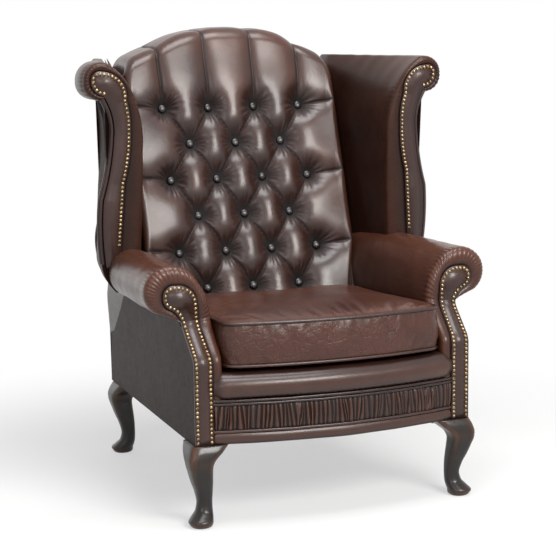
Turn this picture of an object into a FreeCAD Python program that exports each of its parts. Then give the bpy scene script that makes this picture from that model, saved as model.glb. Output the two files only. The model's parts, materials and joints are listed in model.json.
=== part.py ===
import FreeCAD, Part
import math
import os
import Sketcher

# Wingback armchair, millimetres. X is across the chair, the sitter faces -Y, +Z is up.
# Every piece is drawn in chair coordinates: X = 0 on the centre line, Y = 0 on the front
# face of the arm facings, Z = 0 on the floor. Its Placement then moves it by front_y, so
# that the origin ends at the middle of the chair's footprint.

V = FreeCAD.Vector

SIZES = (
    # overall form
    ("chair_height", 1067, "floor to the top of the camel back"),
    ("shoulder_height", 988, "floor to the back's top corner, where the wing joins it"),
    ("body_depth", 745, "front of the facings to the outside back, at the bottom"),
    ("front_half", 328, "centre line to the outside of an arm facing"),
    ("back_half", 294, "centre line to the outside of the body at the back"),
    ("leg_height", 181, "floor to the underside of the seat frame"),
    ("outer_lean", 2.3, "degrees that the outside back leans back"),
    ("inner_rake", 18.2, "degrees that the inside back leans back"),
    ("button_setback", 499, "facing plane to the button plane, at button_height"),
    ("button_height", 450, "height of the lowest button row"),
    # arms
    ("elbow_height", 368, "height where the arm facing starts to slope back"),
    ("neck_height", 437, "height where the facing stands upright again"),
    ("neck_setback", 71, "how far the upper facing stands behind the lower one"),
    ("arm_height", 562, "top of the arm roll"),
    ("arm_reach", 413, "centre line to the outermost point of the arm roll"),
    ("seat_half_front", 262, "centre line to the inside arm at the front"),
    ("seat_half_back", 248, "centre line to the inside arm at the back"),
    ("facing_width", 42, "width of the lower arm facing"),
    ("facing_thick", 6, "padded board of a facing"),
    # wings
    ("wing_height", 993, "top of the wing roll"),
    ("wing_reach", 449, "centre line to the outermost point of the wing roll"),
    ("wing_inner", 309, "centre line to the inside wing at its front"),
    ("wing_setback", 377, "facing plane to the wing's front face, at mid height"),
    ("wing_lean", 3, "degrees that the wing's front face leans forward"),
    ("wing_back_inner", 276, "centre line to the inside wing where it meets the back"),
    # seat
    ("front_bow", 42, "how far the seat front bows out at its middle"),
    ("rail_height", 77, "height of the seat rails"),
    ("rail_thick", 25, "thickness of the side and front rails"),
    ("board_thick", 18, "thickness of the ply back posts"),
    ("panel_thick", 5.5, "outside panels, board and leather"),
    ("deck_height", 344, "top of the sprung deck under the loose cushion"),
    ("cushion_height", 95, "bottom seam to top seam of the loose cushion"),
    ("cushion_crown", 22, "rise of the cushion's top above its seam"),
    ("cushion_bulge", 4, "swell of the cushion's border"),
    ("piping_radius", 3.5, "radius of the welts and pipings"),
    ("gather_count", 64, "folds in the ruched band"),
    # buttons and nails
    ("button_pitch", 120, "spacing of the buttons across a row"),
    ("button_radius", 11, "radius of a covered button"),
    ("tuft_depth", 36, "from the pad's crown to a button's seat"),
    ("tuft_radius", 62, "reach of the dimple around a button"),
    ("nail_radius", 3.9, "radius of a nail's dome"),
    ("nail_pitch", 9.5, "spacing of the nails"),
    ("nail_inset", 5.5, "edge of a facing to its nail row"),
    # small clearances
    ("skin_gap", 0.4, "clearance between neighbouring pieces"),
)

doc = FreeCAD.newDocument("wingback_armchair")
sheet = doc.addObject("Spreadsheet::Sheet", "sizes")
for row, (alias, number, meaning) in enumerate(SIZES, start=1):
    sheet.set("A%d" % row, alias)
    sheet.set("B%d" % row, str(number))
    sheet.set("C%d" % row, meaning)
    sheet.setAlias("B%d" % row, alias)
doc.recompute()


class Size:
    """A length that keeps both its value and the sheet expression it comes from."""

    def __init__(self, value, text=None):
        self.value = float(value)
        self.text = text if text else repr(float(value))

    def _join(self, other, sign, value):
        return Size(value, "(%s %s %s)" % (self.text, sign, other.text))

    def __add__(self, other):
        other = as_size(other)
        return self._join(other, "+", self.value + other.value)

    def __radd__(self, other):
        return as_size(other) + self

    def __sub__(self, other):
        other = as_size(other)
        return self._join(other, "-", self.value - other.value)

    def __rsub__(self, other):
        return as_size(other) - self

    def __mul__(self, other):
        other = as_size(other)
        return self._join(other, "*", self.value * other.value)

    def __rmul__(self, other):
        return as_size(other) * self

    def __truediv__(self, other):
        other = as_size(other)
        return self._join(other, "/", self.value / other.value)

    def __neg__(self):
        return Size(-self.value, "(-1 * %s)" % self.text)

    def __float__(self):
        return self.value


def as_size(number):
    return number if isinstance(number, Size) else Size(number)


def cell(alias):
    return Size(sheet.get(alias), "sizes.%s" % alias)


class Numbers:
    """The sheet's values as plain numbers, for shapes that are worked out in code."""

    def __init__(self):
        for alias, number, meaning in SIZES:
            setattr(self, alias, float(sheet.get(alias)))


n = Numbers()
gap = n.skin_gap

# Slopes, and the lines that the pieces of the back share. Each gives Y at a height.
rake = math.tan(math.radians(n.inner_rake))
lean = math.tan(math.radians(n.outer_lean))
wing_slope = -math.tan(math.radians(n.wing_lean))
wing_mid_height = (n.arm_height + n.wing_height) / 2
pad_front_offset = -n.tuft_depth
pad_rear_offset = 45.0
webbing_thick = 1.5
back_rail_thick = 22.0


def button_y(height):
    return n.button_setback + rake * (height - n.button_height)


def pad_rear_y(height):
    return button_y(height) + pad_rear_offset


def outer_back_y(height):
    return n.body_depth + lean * (height - n.leg_height)


def wing_front_y(height):
    return n.wing_setback + wing_slope * (height - wing_mid_height)


def facing_y(height):
    """Y of the arm facing's front face: upright, sloped from elbow to neck, upright."""
    if height <= n.elbow_height:
        return 0.0
    if height >= n.neck_height:
        return n.neck_setback
    return n.neck_setback * (height - n.elbow_height) / (n.neck_height - n.elbow_height)


# The seat front is an arc through both facings' inner edges, bowed at the middle.
front_end = n.front_half - n.facing_width
bow_radius = (front_end ** 2 + n.front_bow ** 2) / (2 * n.front_bow)
bow_centre_y = bow_radius - n.front_bow
roll_bulge = 10.0
crest_overhang = 8.0
front_extent = n.front_bow + roll_bulge
rear_extent = outer_back_y(n.chair_height - 30.0) + crest_overhang
front_y = (front_extent - rear_extent) / 2

pieces = []


def keep(label, made):
    """Labels a finished sub-part and lists it for export."""
    made.Label = label
    pieces.append((label, made))
    return made


def keep_shape(label, shape):
    """A sub-part whose shape is worked out in code, in chair coordinates."""
    made = doc.addObject("Part::Feature", label)
    made.Shape = one_solid(shape)
    made.Placement = to_origin().multiply(made.Shape.Placement)
    return keep(label, made)


def to_origin():
    """From chair coordinates to the part's frame."""
    return FreeCAD.Placement(V(0, front_y, 0), FreeCAD.Rotation())


def keep_group(label, solids):
    """Like pieces that share one node, as separate solids."""
    made = doc.addObject("Part::Feature", label)
    made.Shape = Part.makeCompound(solids)
    made.Placement = to_origin()
    return keep(label, made)


def keep_pair(name, shape):
    """A right-hand piece and its mirror image on the left."""
    keep_shape(name + "_right", shape)
    keep_shape(name + "_left", mirrored(shape))


def mirrored(shape):
    return shape.mirror(V(0, 0, 0), V(1, 0, 0))


def one_solid(shape):
    """The largest solid of a boolean's result, so that no loose chip is kept."""
    solids = shape.Solids
    if not solids:
        return shape
    return max(solids, key=lambda solid: solid.Volume)


def origin_plane(body, role):
    for feature in body.Origin.OriginFeatures:
        if feature.Role == role:
            return feature
    raise RuntimeError("no plane " + role)


def bind(target, prop, amount):
    """Sets a property from a size, through the sheet where the size comes from it."""
    amount = as_size(amount)
    target.setExpression(prop, amount.text)


def prism_body(label, role, corners, length, at=(0, 0, 0)):
    """A PartDesign body: a polygon of sheet-bound corners, padded by a length.

    The pad runs towards +Z from XY_Plane, +X from YZ_Plane and +Y from XZ_Plane."""
    body = doc.addObject("PartDesign::Body", label)
    sketch = body.newObject("Sketcher::SketchObject", label + "_sketch")
    sketch.AttachmentSupport = [(origin_plane(body, role), "")]
    sketch.MapMode = "FlatFace"
    spots = [V(float(u), float(w), 0) for u, w in corners]
    count = len(spots)
    for index in range(count):
        sketch.addGeometry(Part.LineSegment(spots[index], spots[(index + 1) % count]))
    for index in range(count):
        after = (index + 1) % count
        sketch.addConstraint(Sketcher.Constraint("Coincident", index, 2, after, 1))
    for index, corner in enumerate(corners):
        for kind, amount in zip(("DistanceX", "DistanceY"), corner):
            rule = Sketcher.Constraint(kind, -1, 1, index, 1, float(amount))
            number = sketch.addConstraint(rule)
            bind(sketch, "Constraints[%d]" % number, amount)
    pad = body.newObject("PartDesign::Pad", label + "_pad")
    pad.Profile = sketch
    pad.Reversed = role == "XZ_Plane"
    pad.Length = float(length)
    bind(pad, "Length", length)
    place = (at[0], as_size(at[1]) + front_y_size, at[2])
    for axis, amount in zip("xyz", place):
        bind(body, "Placement.Base." + axis, amount)
    return keep(label, body)


front_y_size = Size(front_y)


# Outlines. A point is a pair; ("arc", middle, end) runs an arc through middle to end.
def outline_edges(points, to_space):
    edges = []
    last = points[0]
    for step in points[1:] + [points[0]]:
        if step[0] == "arc":
            middle, end = step[1], step[2]
            edges.append(Part.Arc(to_space(last), to_space(middle), to_space(end)).toShape())
            last = end
        else:
            if math.dist(last, step) > 1e-6:
                edges.append(Part.makeLine(to_space(last), to_space(step)))
            last = step
    return edges


def moved_outline(points, change):
    """The same outline with every point passed through a function of (x, z)."""
    changed = []
    for step in points:
        if step[0] == "arc":
            changed.append(("arc", change(step[1]), change(step[2])))
        else:
            changed.append(change(step))
    return changed


def upright_wire(points, y_at):
    """An outline in X and Z, laid on the plane whose Y at each height is y_at."""
    return Part.Wire(outline_edges(points, lambda p: V(p[0], y_at(p[1]), p[1])))


def flat_wire(points, height):
    return Part.Wire(outline_edges(points, lambda p: V(p[0], p[1], height)))


def side_prism(points, x_low, x_high):
    """A closed outline in Y and Z, extruded across the chair."""
    wire = Part.Wire(outline_edges(points, lambda p: V(x_low, p[0], p[1])))
    return Part.Face(wire).extrude(V(x_high - x_low, 0, 0))


SHARP = 2


def loft(wires, ruled=False):
    return Part.makeLoft(wires, True, ruled)


def block(x_low, x_high, y_low, y_high, z_low, z_high):
    size = (x_high - x_low, y_high - y_low, z_high - z_low)
    return Part.makeBox(size[0], size[1], size[2], V(x_low, y_low, z_low))


# Seat frame levels
rail_bottom = cell("leg_height") + 6
roll_top = 337.0
roll_depth = 62.0
BLOCK_REACH = 62.0
BLOCK_HEIGHT = 40.0
FRONT_RAIL_SET = 9.0
rail_top = rail_bottom + cell("rail_height")
back_board_y = cell("body_depth") - cell("panel_thick") - cell("skin_gap")
post_foot_depth = 85.0
board_x = cell("back_half") - cell("panel_thick") - cell("skin_gap") * 2 - cell("board_thick")
arm_post_depth = 50.0


def body_half(y):
    """Half width of the body's outside at a depth: it narrows towards the back."""
    return n.front_half + (n.back_half - n.front_half) * y / n.body_depth


def seat_half(y):
    """Half width between the arm pads at a depth."""
    return n.seat_half_front + (n.seat_half_back - n.seat_half_front) * y / n.body_depth


def bow_y(inward, x):
    """Y at x of the arc that runs a given distance inside the bow."""
    return bow_centre_y - math.sqrt((bow_radius - inward) ** 2 - x ** 2)


def bowed_section(label, section):
    """Revolves a closed (radius, height) outline about the bow's axis, cut to the seat's width.

    Radius is measured from the bow's front arc, positive outwards."""
    def to_space(p):
        return V(0, bow_centre_y - (bow_radius + p[0]), p[1])
    face = Part.Face(Part.Wire(outline_edges(section, to_space)))
    half_turn = math.degrees(math.asin(front_end / bow_radius)) + 3
    axis_at = V(0, bow_centre_y, 0)
    face = face.rotated(axis_at, V(0, 0, 1), -half_turn)
    turned = face.revolve(axis_at, V(0, 0, 1), 2 * half_turn)
    edge = front_end - gap
    limits = block(-edge, edge, -2 * n.front_bow - 60, 300, 0, n.chair_height)
    return keep_shape(label, turned.common(limits))


def make_seat_frame():
    """Bowed front rail, straight side and back rails, corner blocks and bolts."""
    rail_front = -FRONT_RAIL_SET
    bottom, top = float(rail_bottom), float(rail_top)
    bowed_section("seat_rail_front", [
        (rail_front, bottom), (rail_front, top),
        (rail_front - n.rail_thick, top), (rail_front - n.rail_thick, bottom)])
    front_at = facing_y(0) + n.facing_thick + arm_post_depth + 2 * gap
    back_at = back_board_y - post_foot_depth - cell("skin_gap")
    narrowing = (cell("front_half") - cell("back_half")) / cell("body_depth")
    inset = cell("panel_thick") + cell("skin_gap")
    for name, side in (("right", 1), ("left", -1)):
        outer_front = cell("front_half") - inset - narrowing * front_at
        outer_back = cell("front_half") - inset - narrowing * back_at
        corners = [
            (outer_front * side, front_at), (outer_back * side, back_at),
            ((outer_back - cell("rail_thick")) * side, back_at),
            ((outer_front - cell("rail_thick")) * side, front_at)]
        prism_body("seat_rail_" + name, "XY_Plane", corners, cell("rail_height"),
                   (0, 0, rail_bottom))
    half = cell("back_half") - inset - cell("board_thick") - cell("skin_gap")
    prism_body("seat_rail_back", "XY_Plane", [
        (-half, back_board_y - cell("rail_thick")), (half, back_board_y - cell("rail_thick")),
        (half, back_board_y), (-half, back_board_y)],
        cell("rail_height"), (0, 0, rail_bottom))
    make_corner_blocks()


def rail_back_y(x):
    """Y of the bowed front rail's rear face."""
    return bow_y(FRONT_RAIL_SET + n.rail_thick, x)


def make_corner_blocks():
    """Glue blocks: between the front rail and each side rail, and in each rear corner."""
    blocks = []
    low = float(rail_bottom) + 12
    slack = 3 * gap
    front_at = n.facing_thick + arm_post_depth + slack + 0.2
    slope = (n.front_half - n.back_half) / n.body_depth
    side_in = n.panel_thick + n.rail_thick + slack
    rear_x = float(board_x) - gap
    rear_y = float(back_board_y) - n.rail_thick - gap
    for side in (1, -1):
        near = front_end - 1.5
        far = near - 50
        corners = [
            (near, rail_back_y(near) + slack), (near, front_at),
            (body_half(front_at) - side_in, front_at),
            (body_half(front_at) - side_in - slope * BLOCK_REACH, front_at + BLOCK_REACH),
            (far, front_at), (far, rail_back_y(far) + slack)]
        blocks.append(block_prism(corners, side, low))
        reach = BLOCK_REACH - 5
        corners = [(rear_x, rear_y), (rear_x, rear_y - reach), (rear_x - reach, rear_y)]
        blocks.append(block_prism(corners, side, low))
    keep_group("corner_blocks", blocks)


def block_prism(corners, side, low):
    outline = [(side * x, y) for x, y in corners]
    return Part.Face(flat_wire(outline, low)).extrude(V(0, 0, BLOCK_HEIGHT))


# The arm facing's front outline, in X and Z. Its scroll stands inside the arm roll.
def arm_x(part):
    return n.seat_half_front - 9 + part * (n.arm_reach - n.seat_half_front + 9)


def arm_z(part):
    return n.neck_height + part * (n.arm_height - n.neck_height)


def arm_facing_outline(bottom):
    inner = front_end
    outer = n.front_half
    return [
        (inner, bottom), (inner, n.elbow_height), (inner + 5, n.neck_height),
        (arm_x(0.25), arm_z(0.33)),
        ("arc", (arm_x(0.34), arm_z(0.585)), (arm_x(0.55), arm_z(0.672))),
        ("arc", (arm_x(0.70), arm_z(0.61)), (arm_x(0.7375), arm_z(0.464))),
        ("arc", (arm_x(0.71), arm_z(0.34)), (arm_x(0.63), arm_z(0.256))),
        ("arc", (arm_x(0.53), arm_z(0.15)), (outer + 2, n.neck_height - 2)),
        (outer, n.elbow_height), (outer, bottom)]


core_end_y = float(back_board_y) - post_foot_depth
panel_top = n.neck_height + 3.2
post_top = n.shoulder_height - 34


def arm_back_map():
    """How the arm facing's outline narrows towards the back of the body."""
    inner_back = float(board_x) - 2
    ratio = (body_half(core_end_y) - inner_back) / n.facing_width

    def change(p):
        return (inner_back + (p[0] - front_end) * ratio, p[1])
    return change


def arm_core(grow=0.0):
    """The keyhole space inside an arm, from the facing to the back post's foot."""
    outline = arm_facing_outline(0.0)
    straight_to = n.neck_setback + n.facing_thick + arm_post_depth + 2 * gap
    sections = []
    for y, shaped in ((-5.0, outline), (straight_to, outline),
                      (core_end_y, moved_outline(outline, arm_back_map()))):
        wire = Part.Wire(outline_edges(shaped, lambda p, y=y: V(p[0], y, p[1])))
        sections.append(wire.makeOffset2D(grow, SHARP) if grow else wire)
    return loft(sections, True)


def facing_band(front, thick, low, high):
    """The side profile of a facing: a strip that follows facing_y, as Y and Z points."""
    tilt = math.hypot(n.neck_setback, n.neck_height - n.elbow_height)
    drop = (tilt - n.neck_setback) / (n.neck_height - n.elbow_height)
    back = front + thick

    def knee(offset):
        return offset * drop
    return [
        (front, low), (front, n.elbow_height - knee(front)),
        (n.neck_setback + front, n.neck_height - knee(front)), (n.neck_setback + front, high),
        (n.neck_setback + back, high), (n.neck_setback + back, n.neck_height - knee(back)),
        (back, n.elbow_height - knee(back)), (back, low)]


def upright_prism(points, y_low, y_high):
    wire = upright_wire(points, lambda height: y_low)
    return Part.Face(wire).extrude(V(0, y_high - y_low, 0))


# How far the roll stands out of the body: depth, and share of its reach at the front.
arm_end_y = outer_back_y(n.arm_height) - n.panel_thick - gap
ROLL_STATIONS = ((-5.0, 1.0), (n.wing_setback, 1.03), (560.0, 0.74), (arm_end_y, 0.30))


def roll_reach(y):
    """Centre line to the outermost point of the arm roll, at a depth."""
    shares = ROLL_STATIONS
    for (y0, share0), (y1, share1) in zip(shares, shares[1:]):
        if y <= y1:
            break
    part = (y - y0) / (y1 - y0)
    share = share0 + (share1 - share0) * part
    return body_half(y) + (n.arm_reach - n.front_half) * share


def arm_across(y):
    """A function that turns a share of the arm's width at a depth into X."""
    inner = seat_half(y)
    width = roll_reach(y) - inner
    return lambda part: inner + part * width


def arm_section(y):
    """The arm's full outer section at a depth: inside face, roll and underside."""
    inner = seat_half(y)
    outside = body_half(y)
    ax = arm_across(y)
    low = float(rail_top) + 4
    under = arm_z(0.028)
    return [
        (inner, low), (inner, n.neck_height - 4),
        ("arc", (ax(0.055), arm_z(0.42)), (ax(0.24), arm_z(0.80))),
        ("arc", (ax(0.40), arm_z(0.945)), (ax(0.61), arm_z(1.0))),
        ("arc", (ax(0.88), arm_z(0.88)), (ax(1.0), arm_z(0.56))),
        ("arc", (ax(0.95), arm_z(0.34)), (ax(0.84), arm_z(0.20))),
        (outside + 1, under), (outside - 20, under), (outside - 20, low)]


def arm_solid():
    """The arm's outside as one solid, before its core and ends are cut."""
    return loft([upright_wire(arm_section(y), lambda height, y=y: y)
                 for y, share in ROLL_STATIONS], True)


def behind_back():
    """Everything behind the inner face of the outside back."""
    top = n.chair_height + 60
    far = n.body_depth + 200

    def inner_face(height):
        return outer_back_y(height) - n.panel_thick - gap
    return side_prism([(inner_face(0), 0), (inner_face(top), top), (far, top), (far, 0)],
                      0, n.wing_reach + 60)


def front_cut():
    """Everything in front of the arm facing's face."""
    far = -80.0
    top = n.chair_height
    return side_prism([
        (far, 0), (0, 0), (0, n.elbow_height), (n.neck_setback, n.neck_height),
        (n.neck_setback, top), (far, top)], 0, n.arm_reach + 60)


def make_arms():
    """Facing, post, rail, pad and outside panel of each arm."""
    bottom = n.leg_height + 0.4
    thick = n.facing_thick
    face = upright_prism(arm_facing_outline(bottom), -10, 300)
    facing = face.common(side_prism(facing_band(0, thick, 0, n.arm_height), 0, n.arm_reach))
    keep_pair("arm_facing", facing)

    strip = facing_band(thick + gap, arm_post_depth - gap, float(rail_bottom), arm_z(0.66))
    arm_post = arm_core().common(side_prism(strip, 0, n.arm_reach))
    inset = n.panel_thick + gap
    panel_plan = flat_wire([
        (n.front_half - inset, 0), (n.arm_reach, 0), (n.arm_reach, 200),
        (body_half(200) - inset, 200)], 0)
    panel_space = Part.Face(panel_plan).extrude(V(0, 0, panel_top + gap))
    roll_space = block(0, front_end, 0, 200, 0, roll_top + gap)
    keep_pair("arm_post", arm_post.cut(panel_space).cut(roll_space))

    rail_from = cell("neck_setback") + cell("facing_thick") + arm_post_depth + 2 * gap
    rail_to = back_board_y - post_foot_depth
    back_inner = cell("back_half") - cell("panel_thick") + cell("skin_gap")
    for name, side in (("right", 1), ("left", -1)):
        corners = [
            ((cell("front_half") - 20) * side, rail_from),
            ((cell("front_half") + 24) * side, rail_from),
            ((cell("back_half") + 20) * side, rail_to), (back_inner * side, rail_to)]
        prism_body("arm_rail_" + name, "XY_Plane", corners, Size(36),
                   (0, 0, cell("neck_height") + 35))

    pad = arm_solid().cut(front_cut()).cut(arm_core(gap)).cut(behind_back())
    roll_space = block(0, n.arm_reach, -90, bow_y(roll_depth, front_end), 0, roll_top + gap)
    pad = pad.cut(roll_space)
    behind = side_prism([
        (pad_rear_y(float(rail_top)) - gap, 0), (pad_rear_y(0) - gap, 0),
        (pad_rear_y(n.arm_height) - gap, n.arm_height), (n.body_depth + 90, n.arm_height),
        (n.body_depth + 90, 0)], 0, float(board_x) + n.board_thick + gap)
    pad = pad.cut(behind)
    keep_pair("arm_pad", pad)

    outside_top = panel_top - gap
    end = outer_back_y(n.leg_height) - n.panel_thick - gap
    plan = flat_wire([
        (n.front_half, thick + gap), (body_half(end), end),
        (body_half(end) - n.panel_thick, end),
        (n.front_half - n.panel_thick, thick + gap)], 0)
    plan_solid = Part.Face(plan).extrude(V(0, 0, n.arm_height))
    knee = facing_band(thick + gap, 1, 0, n.arm_height)
    side = side_prism([
        (thick + gap, bottom), knee[1], knee[2], (n.neck_setback + thick + gap, outside_top),
        (end, outside_top), (end, bottom)], 0, n.arm_reach)
    keep_pair("outside_arm", plan_solid.common(side))


# The wing's outlines at its front face, in X and Z.
def wing_x(part):
    return n.wing_inner + part * (n.wing_reach - n.wing_inner)


def wing_z(part):
    return n.arm_height + part * (n.wing_height - n.arm_height)


def wing_pad_outline(bottom):
    """Inside face, roll over the top and back to the facing's outer edge."""
    return [
        (wing_x(0.065), bottom),
        ("arc", (wing_x(0.0), wing_z(0.35)), (wing_x(0.0), wing_z(0.52))),
        ("arc", (wing_x(0.02), wing_z(0.68)), (wing_x(0.12), wing_z(0.80))),
        ("arc", (wing_x(0.32), wing_z(0.915)), (wing_x(0.60), wing_z(0.994))),
        ("arc", (wing_x(0.90), wing_z(0.975)), (wing_x(1.0), wing_z(0.90))),
        ("arc", (wing_x(0.90), wing_z(0.82)), (wing_x(0.60), wing_z(0.81))),
        ("arc", (wing_x(0.48), wing_z(0.70)), (wing_x(0.46), wing_z(0.60))),
        ("arc", (wing_x(0.50), wing_z(0.45)), (wing_x(0.56), wing_z(0.30))),
        (wing_x(0.56), bottom)]


def wing_facing_outline(bottom):
    """The strip between the nail column and the outer edge, with its scroll."""
    return [
        (wing_x(0.43), bottom), (wing_x(0.335), wing_z(0.355)),
        ("arc", (wing_x(0.24), wing_z(0.52)), (wing_x(0.225), wing_z(0.62))),
        ("arc", (wing_x(0.23), wing_z(0.70)), (wing_x(0.285), wing_z(0.795))),
        ("arc", (wing_x(0.46), wing_z(0.925)), (wing_x(0.69), wing_z(0.949))),
        ("arc", (wing_x(0.86), wing_z(0.93)), (wing_x(0.885), wing_z(0.90))),
        ("arc", (wing_x(0.83), wing_z(0.85)), (wing_x(0.675), wing_z(0.823))),
        ("arc", (wing_x(0.55), wing_z(0.74)), (wing_x(0.505), wing_z(0.60))),
        ("arc", (wing_x(0.58), wing_z(0.41)), (wing_x(0.69), wing_z(0.27))),
        ("arc", (wing_x(0.71), wing_z(0.12)), (wing_x(0.66), bottom))]


wing_back_outer = n.back_half + 6


def wing_map(share):
    """The wing's outline narrows from its front (share 0) to the back post (share 1)."""
    ratio = (wing_back_outer - n.wing_back_inner) / (0.505 * (n.wing_reach - n.wing_inner))
    bent = share ** 1.5

    def change(p):
        back = n.wing_back_inner + (p[0] - n.wing_inner) * ratio
        return (p[0] + (back - p[0]) * bent, p[1])
    return change


def wing_y(share):
    """Planes from the wing's front face to the back pad's rear plane."""
    def at(height):
        start = wing_front_y(height)
        end = pad_rear_y(height) - gap - webbing_thick
        return start + (end - start) * share
    return at


WING_SHARES = (-0.06, 0.0, 0.5, 1.0)


def wing_solid(outline, grow=0.0, shares=WING_SHARES):
    """An outline carried from in front of the wing's face to the back post, narrowing."""
    wires = []
    for share in shares:
        shaped = moved_outline(outline, wing_map(max(share, 0.0)))
        wire = upright_wire(shaped, wing_y(share))
        wires.append(wire.makeOffset2D(grow, SHARP) if grow else wire)
    return loft(wires, True)


def wing_slab(start, end):
    """The space between two offsets behind the wing's front face."""
    low, high = 0.0, n.chair_height + 60
    return side_prism([
        (wing_front_y(low) + start, low), (wing_front_y(high) + start, high),
        (wing_front_y(high) + end, high), (wing_front_y(low) + end, low)], 0, n.wing_reach + 60)


def wing_heel(below):
    """The wing pad's rear end, round the outside of the back post and over its top."""
    outline = moved_outline(wing_pad_outline(below), wing_map(1.0))

    def rear(height):
        return outer_back_y(height) - n.panel_thick - gap
    heel = loft([upright_wire(outline, wing_y(1.0)), upright_wire(outline, rear)], True)
    post_outside = float(board_x) + n.board_thick + gap
    return heel.cut(block(0, post_outside, 0, 2 * n.body_depth, 0, post_top + gap))


def wing_skin():
    """The outside panel: over the arm roll and up to the wing's roll, back to the rear."""
    thick = 4.0
    clear = gap + 1.2

    def section(share, y_at):
        narrow = wing_map(share)
        ax = arm_across(min(y_at(arm_z(0.56)), arm_end_y))

        def edge(x_part, z_part):
            return narrow((wing_x(x_part), wing_z(z_part)))
        lowest, low = (ax(0.84), arm_z(0.20)), (ax(0.95), arm_z(0.34))
        widest = (max(ax(1.0), edge(0.67, 0)[0]), arm_z(0.56))
        waist = edge(0.69, 0.27)
        over = (waist[0] + 0.52 * (widest[0] - waist[0]) + 8 * (1 - share), wing_z(0.09))
        way_up = [lowest, low, widest, over, waist, edge(0.58, 0.41), edge(0.505, 0.60),
                  edge(0.545, 0.72), edge(0.61, 0.79)]

        def line(off):
            return [(x + clear + off, z) for x, z in way_up]
        inner, outer = line(0.0), line(thick)
        outline = [inner[0]]
        for index in (1, 3, 5, 7):
            outline.append(("arc", inner[index], inner[index + 1]))
        outline.append(outer[8])
        for index in (7, 5, 3, 1):
            outline.append(("arc", outer[index], outer[index - 1]))
        return upright_wire(outline, y_at)

    def rear(height):
        return outer_back_y(height) - n.panel_thick - gap
    return loft([
        section(0.0, wing_y(0.0)), section(0.5, wing_y(0.5)), section(1.0, wing_y(1.0)),
        section(1.0, rear)], True)


def make_wings():
    """Facing, post, rail, pad and outside panel of each wing."""
    below = arm_z(0.58)
    thick = n.facing_thick
    arm_top = arm_solid().translated(V(0, 0, gap))
    outline = wing_facing_outline(below)
    facing = wing_solid(outline).common(wing_slab(0, thick)).cut(arm_top)
    keep_pair("wing_facing", upper_part(facing))

    core = wing_solid(outline, gap)
    pad = wing_solid(wing_pad_outline(below), shares=WING_SHARES[1:]).cut(core)
    keep_pair("wing_pad", upper_part(pad.fuse(wing_heel(below)).cut(arm_top)))

    post_depth = 34.0
    post = wing_solid(outline).common(wing_slab(thick + gap, thick + gap + post_depth))
    keep_pair("wing_post", upper_part(post.cut(arm_top)))

    rail_outline = [
        (wing_x(0.42), wing_z(0.855)), (wing_x(0.66), wing_z(0.855)),
        (wing_x(0.66), wing_z(0.925)), (wing_x(0.42), wing_z(0.895))]
    rail = wing_solid(rail_outline).cut(wing_slab(-90, thick + post_depth + 2 * gap))
    keep_pair("wing_rail", rail)
    skin = wing_skin().cut(arm_top).cut(arm_solid().translated(V(gap, 0, 0)))
    keep_pair("outside_wing", skin)


def upper_part(shape):
    """What stands on the arm: the largest solid whose middle is above the arm's top."""
    above = [solid for solid in shape.Solids if solid.CenterOfMass.z > n.arm_height]
    return max(above, key=lambda solid: solid.Volume)


def camel_outline(low_side, half_high, bottom, drop=0.0, side_in=0.0):
    """The back's front-view outline: sides that follow the arms, and a camel crest.

    low_side lists the right side's (x, height) points below the wings, from the bottom up."""
    top = n.chair_height - drop
    shoulder = n.shoulder_height - drop
    rise = top - shoulder
    width = half_high - side_in
    right = [(x - side_in, z) for x, z in low_side]
    left = [(-x, z) for x, z in right]

    def crest(side, across, up):
        return (side * across * width, shoulder + up * rise)
    return [
        (left[0][0], bottom)] + left + [crest(-1, 1, 0),
        ("arc", crest(-1, 0.90, 0.16), crest(-1, 0.78, 0.27)),
        ("arc", crest(-1, 0.61, 0.42), crest(-1, 0.49, 0.66)),
        ("arc", crest(-1, 0.39, 0.88), crest(-1, 0.24, 0.965)),
        ("arc", crest(0, 0, 1), crest(1, 0.24, 0.965)),
        ("arc", crest(1, 0.39, 0.88), crest(1, 0.49, 0.66)),
        ("arc", crest(1, 0.61, 0.42), crest(1, 0.78, 0.27)),
        ("arc", crest(1, 0.90, 0.16), crest(1, 1, 0))] + right[::-1] + [(right[0][0], bottom)]


BUTTON_COUNTS = (3, 4, 3, 4, 3, 4)
row_rise = 86.0


def button_places():
    """Rows from the lowest up: each is a list of (x, height)."""
    rows = []
    for level, count in enumerate(BUTTON_COUNTS):
        height = n.button_height + level * row_rise
        first = -(count - 1) / 2 * n.button_pitch
        rows.append([(first + i * n.button_pitch, height) for i in range(count)])
    return rows


def tuft_tool(x, height):
    """What a tuft removes: a dimple with convex sides, steep next to the button."""
    base = n.tuft_depth
    seat = n.button_radius
    far = n.tuft_radius
    slant = math.cos(math.radians(n.inner_rake))
    deep = base * slant
    lift = 6.0
    profile = Part.Wire([
        Part.makeLine(V(0, 0, 0), V(seat, 0, 0)),
        Part.Arc(V(seat, 0, 0), V(seat + (far - seat) * 0.36, 0, deep * 0.70),
                 V(far, 0, deep)).toShape(),
        Part.makeLine(V(far, 0, deep), V(far, 0, deep + lift)),
        Part.makeLine(V(far, 0, deep + lift), V(0, 0, deep + lift)),
        Part.makeLine(V(0, 0, deep + lift), V(0, 0, 0))])
    tool = Part.Face(profile).revolve(V(0, 0, 0), V(0, 0, 1), 360)
    tool.rotate(V(0, 0, 0), V(1, 0, 0), 90 - n.inner_rake)
    tool.translate(V(x, button_y(height), height))
    return tool


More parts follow.
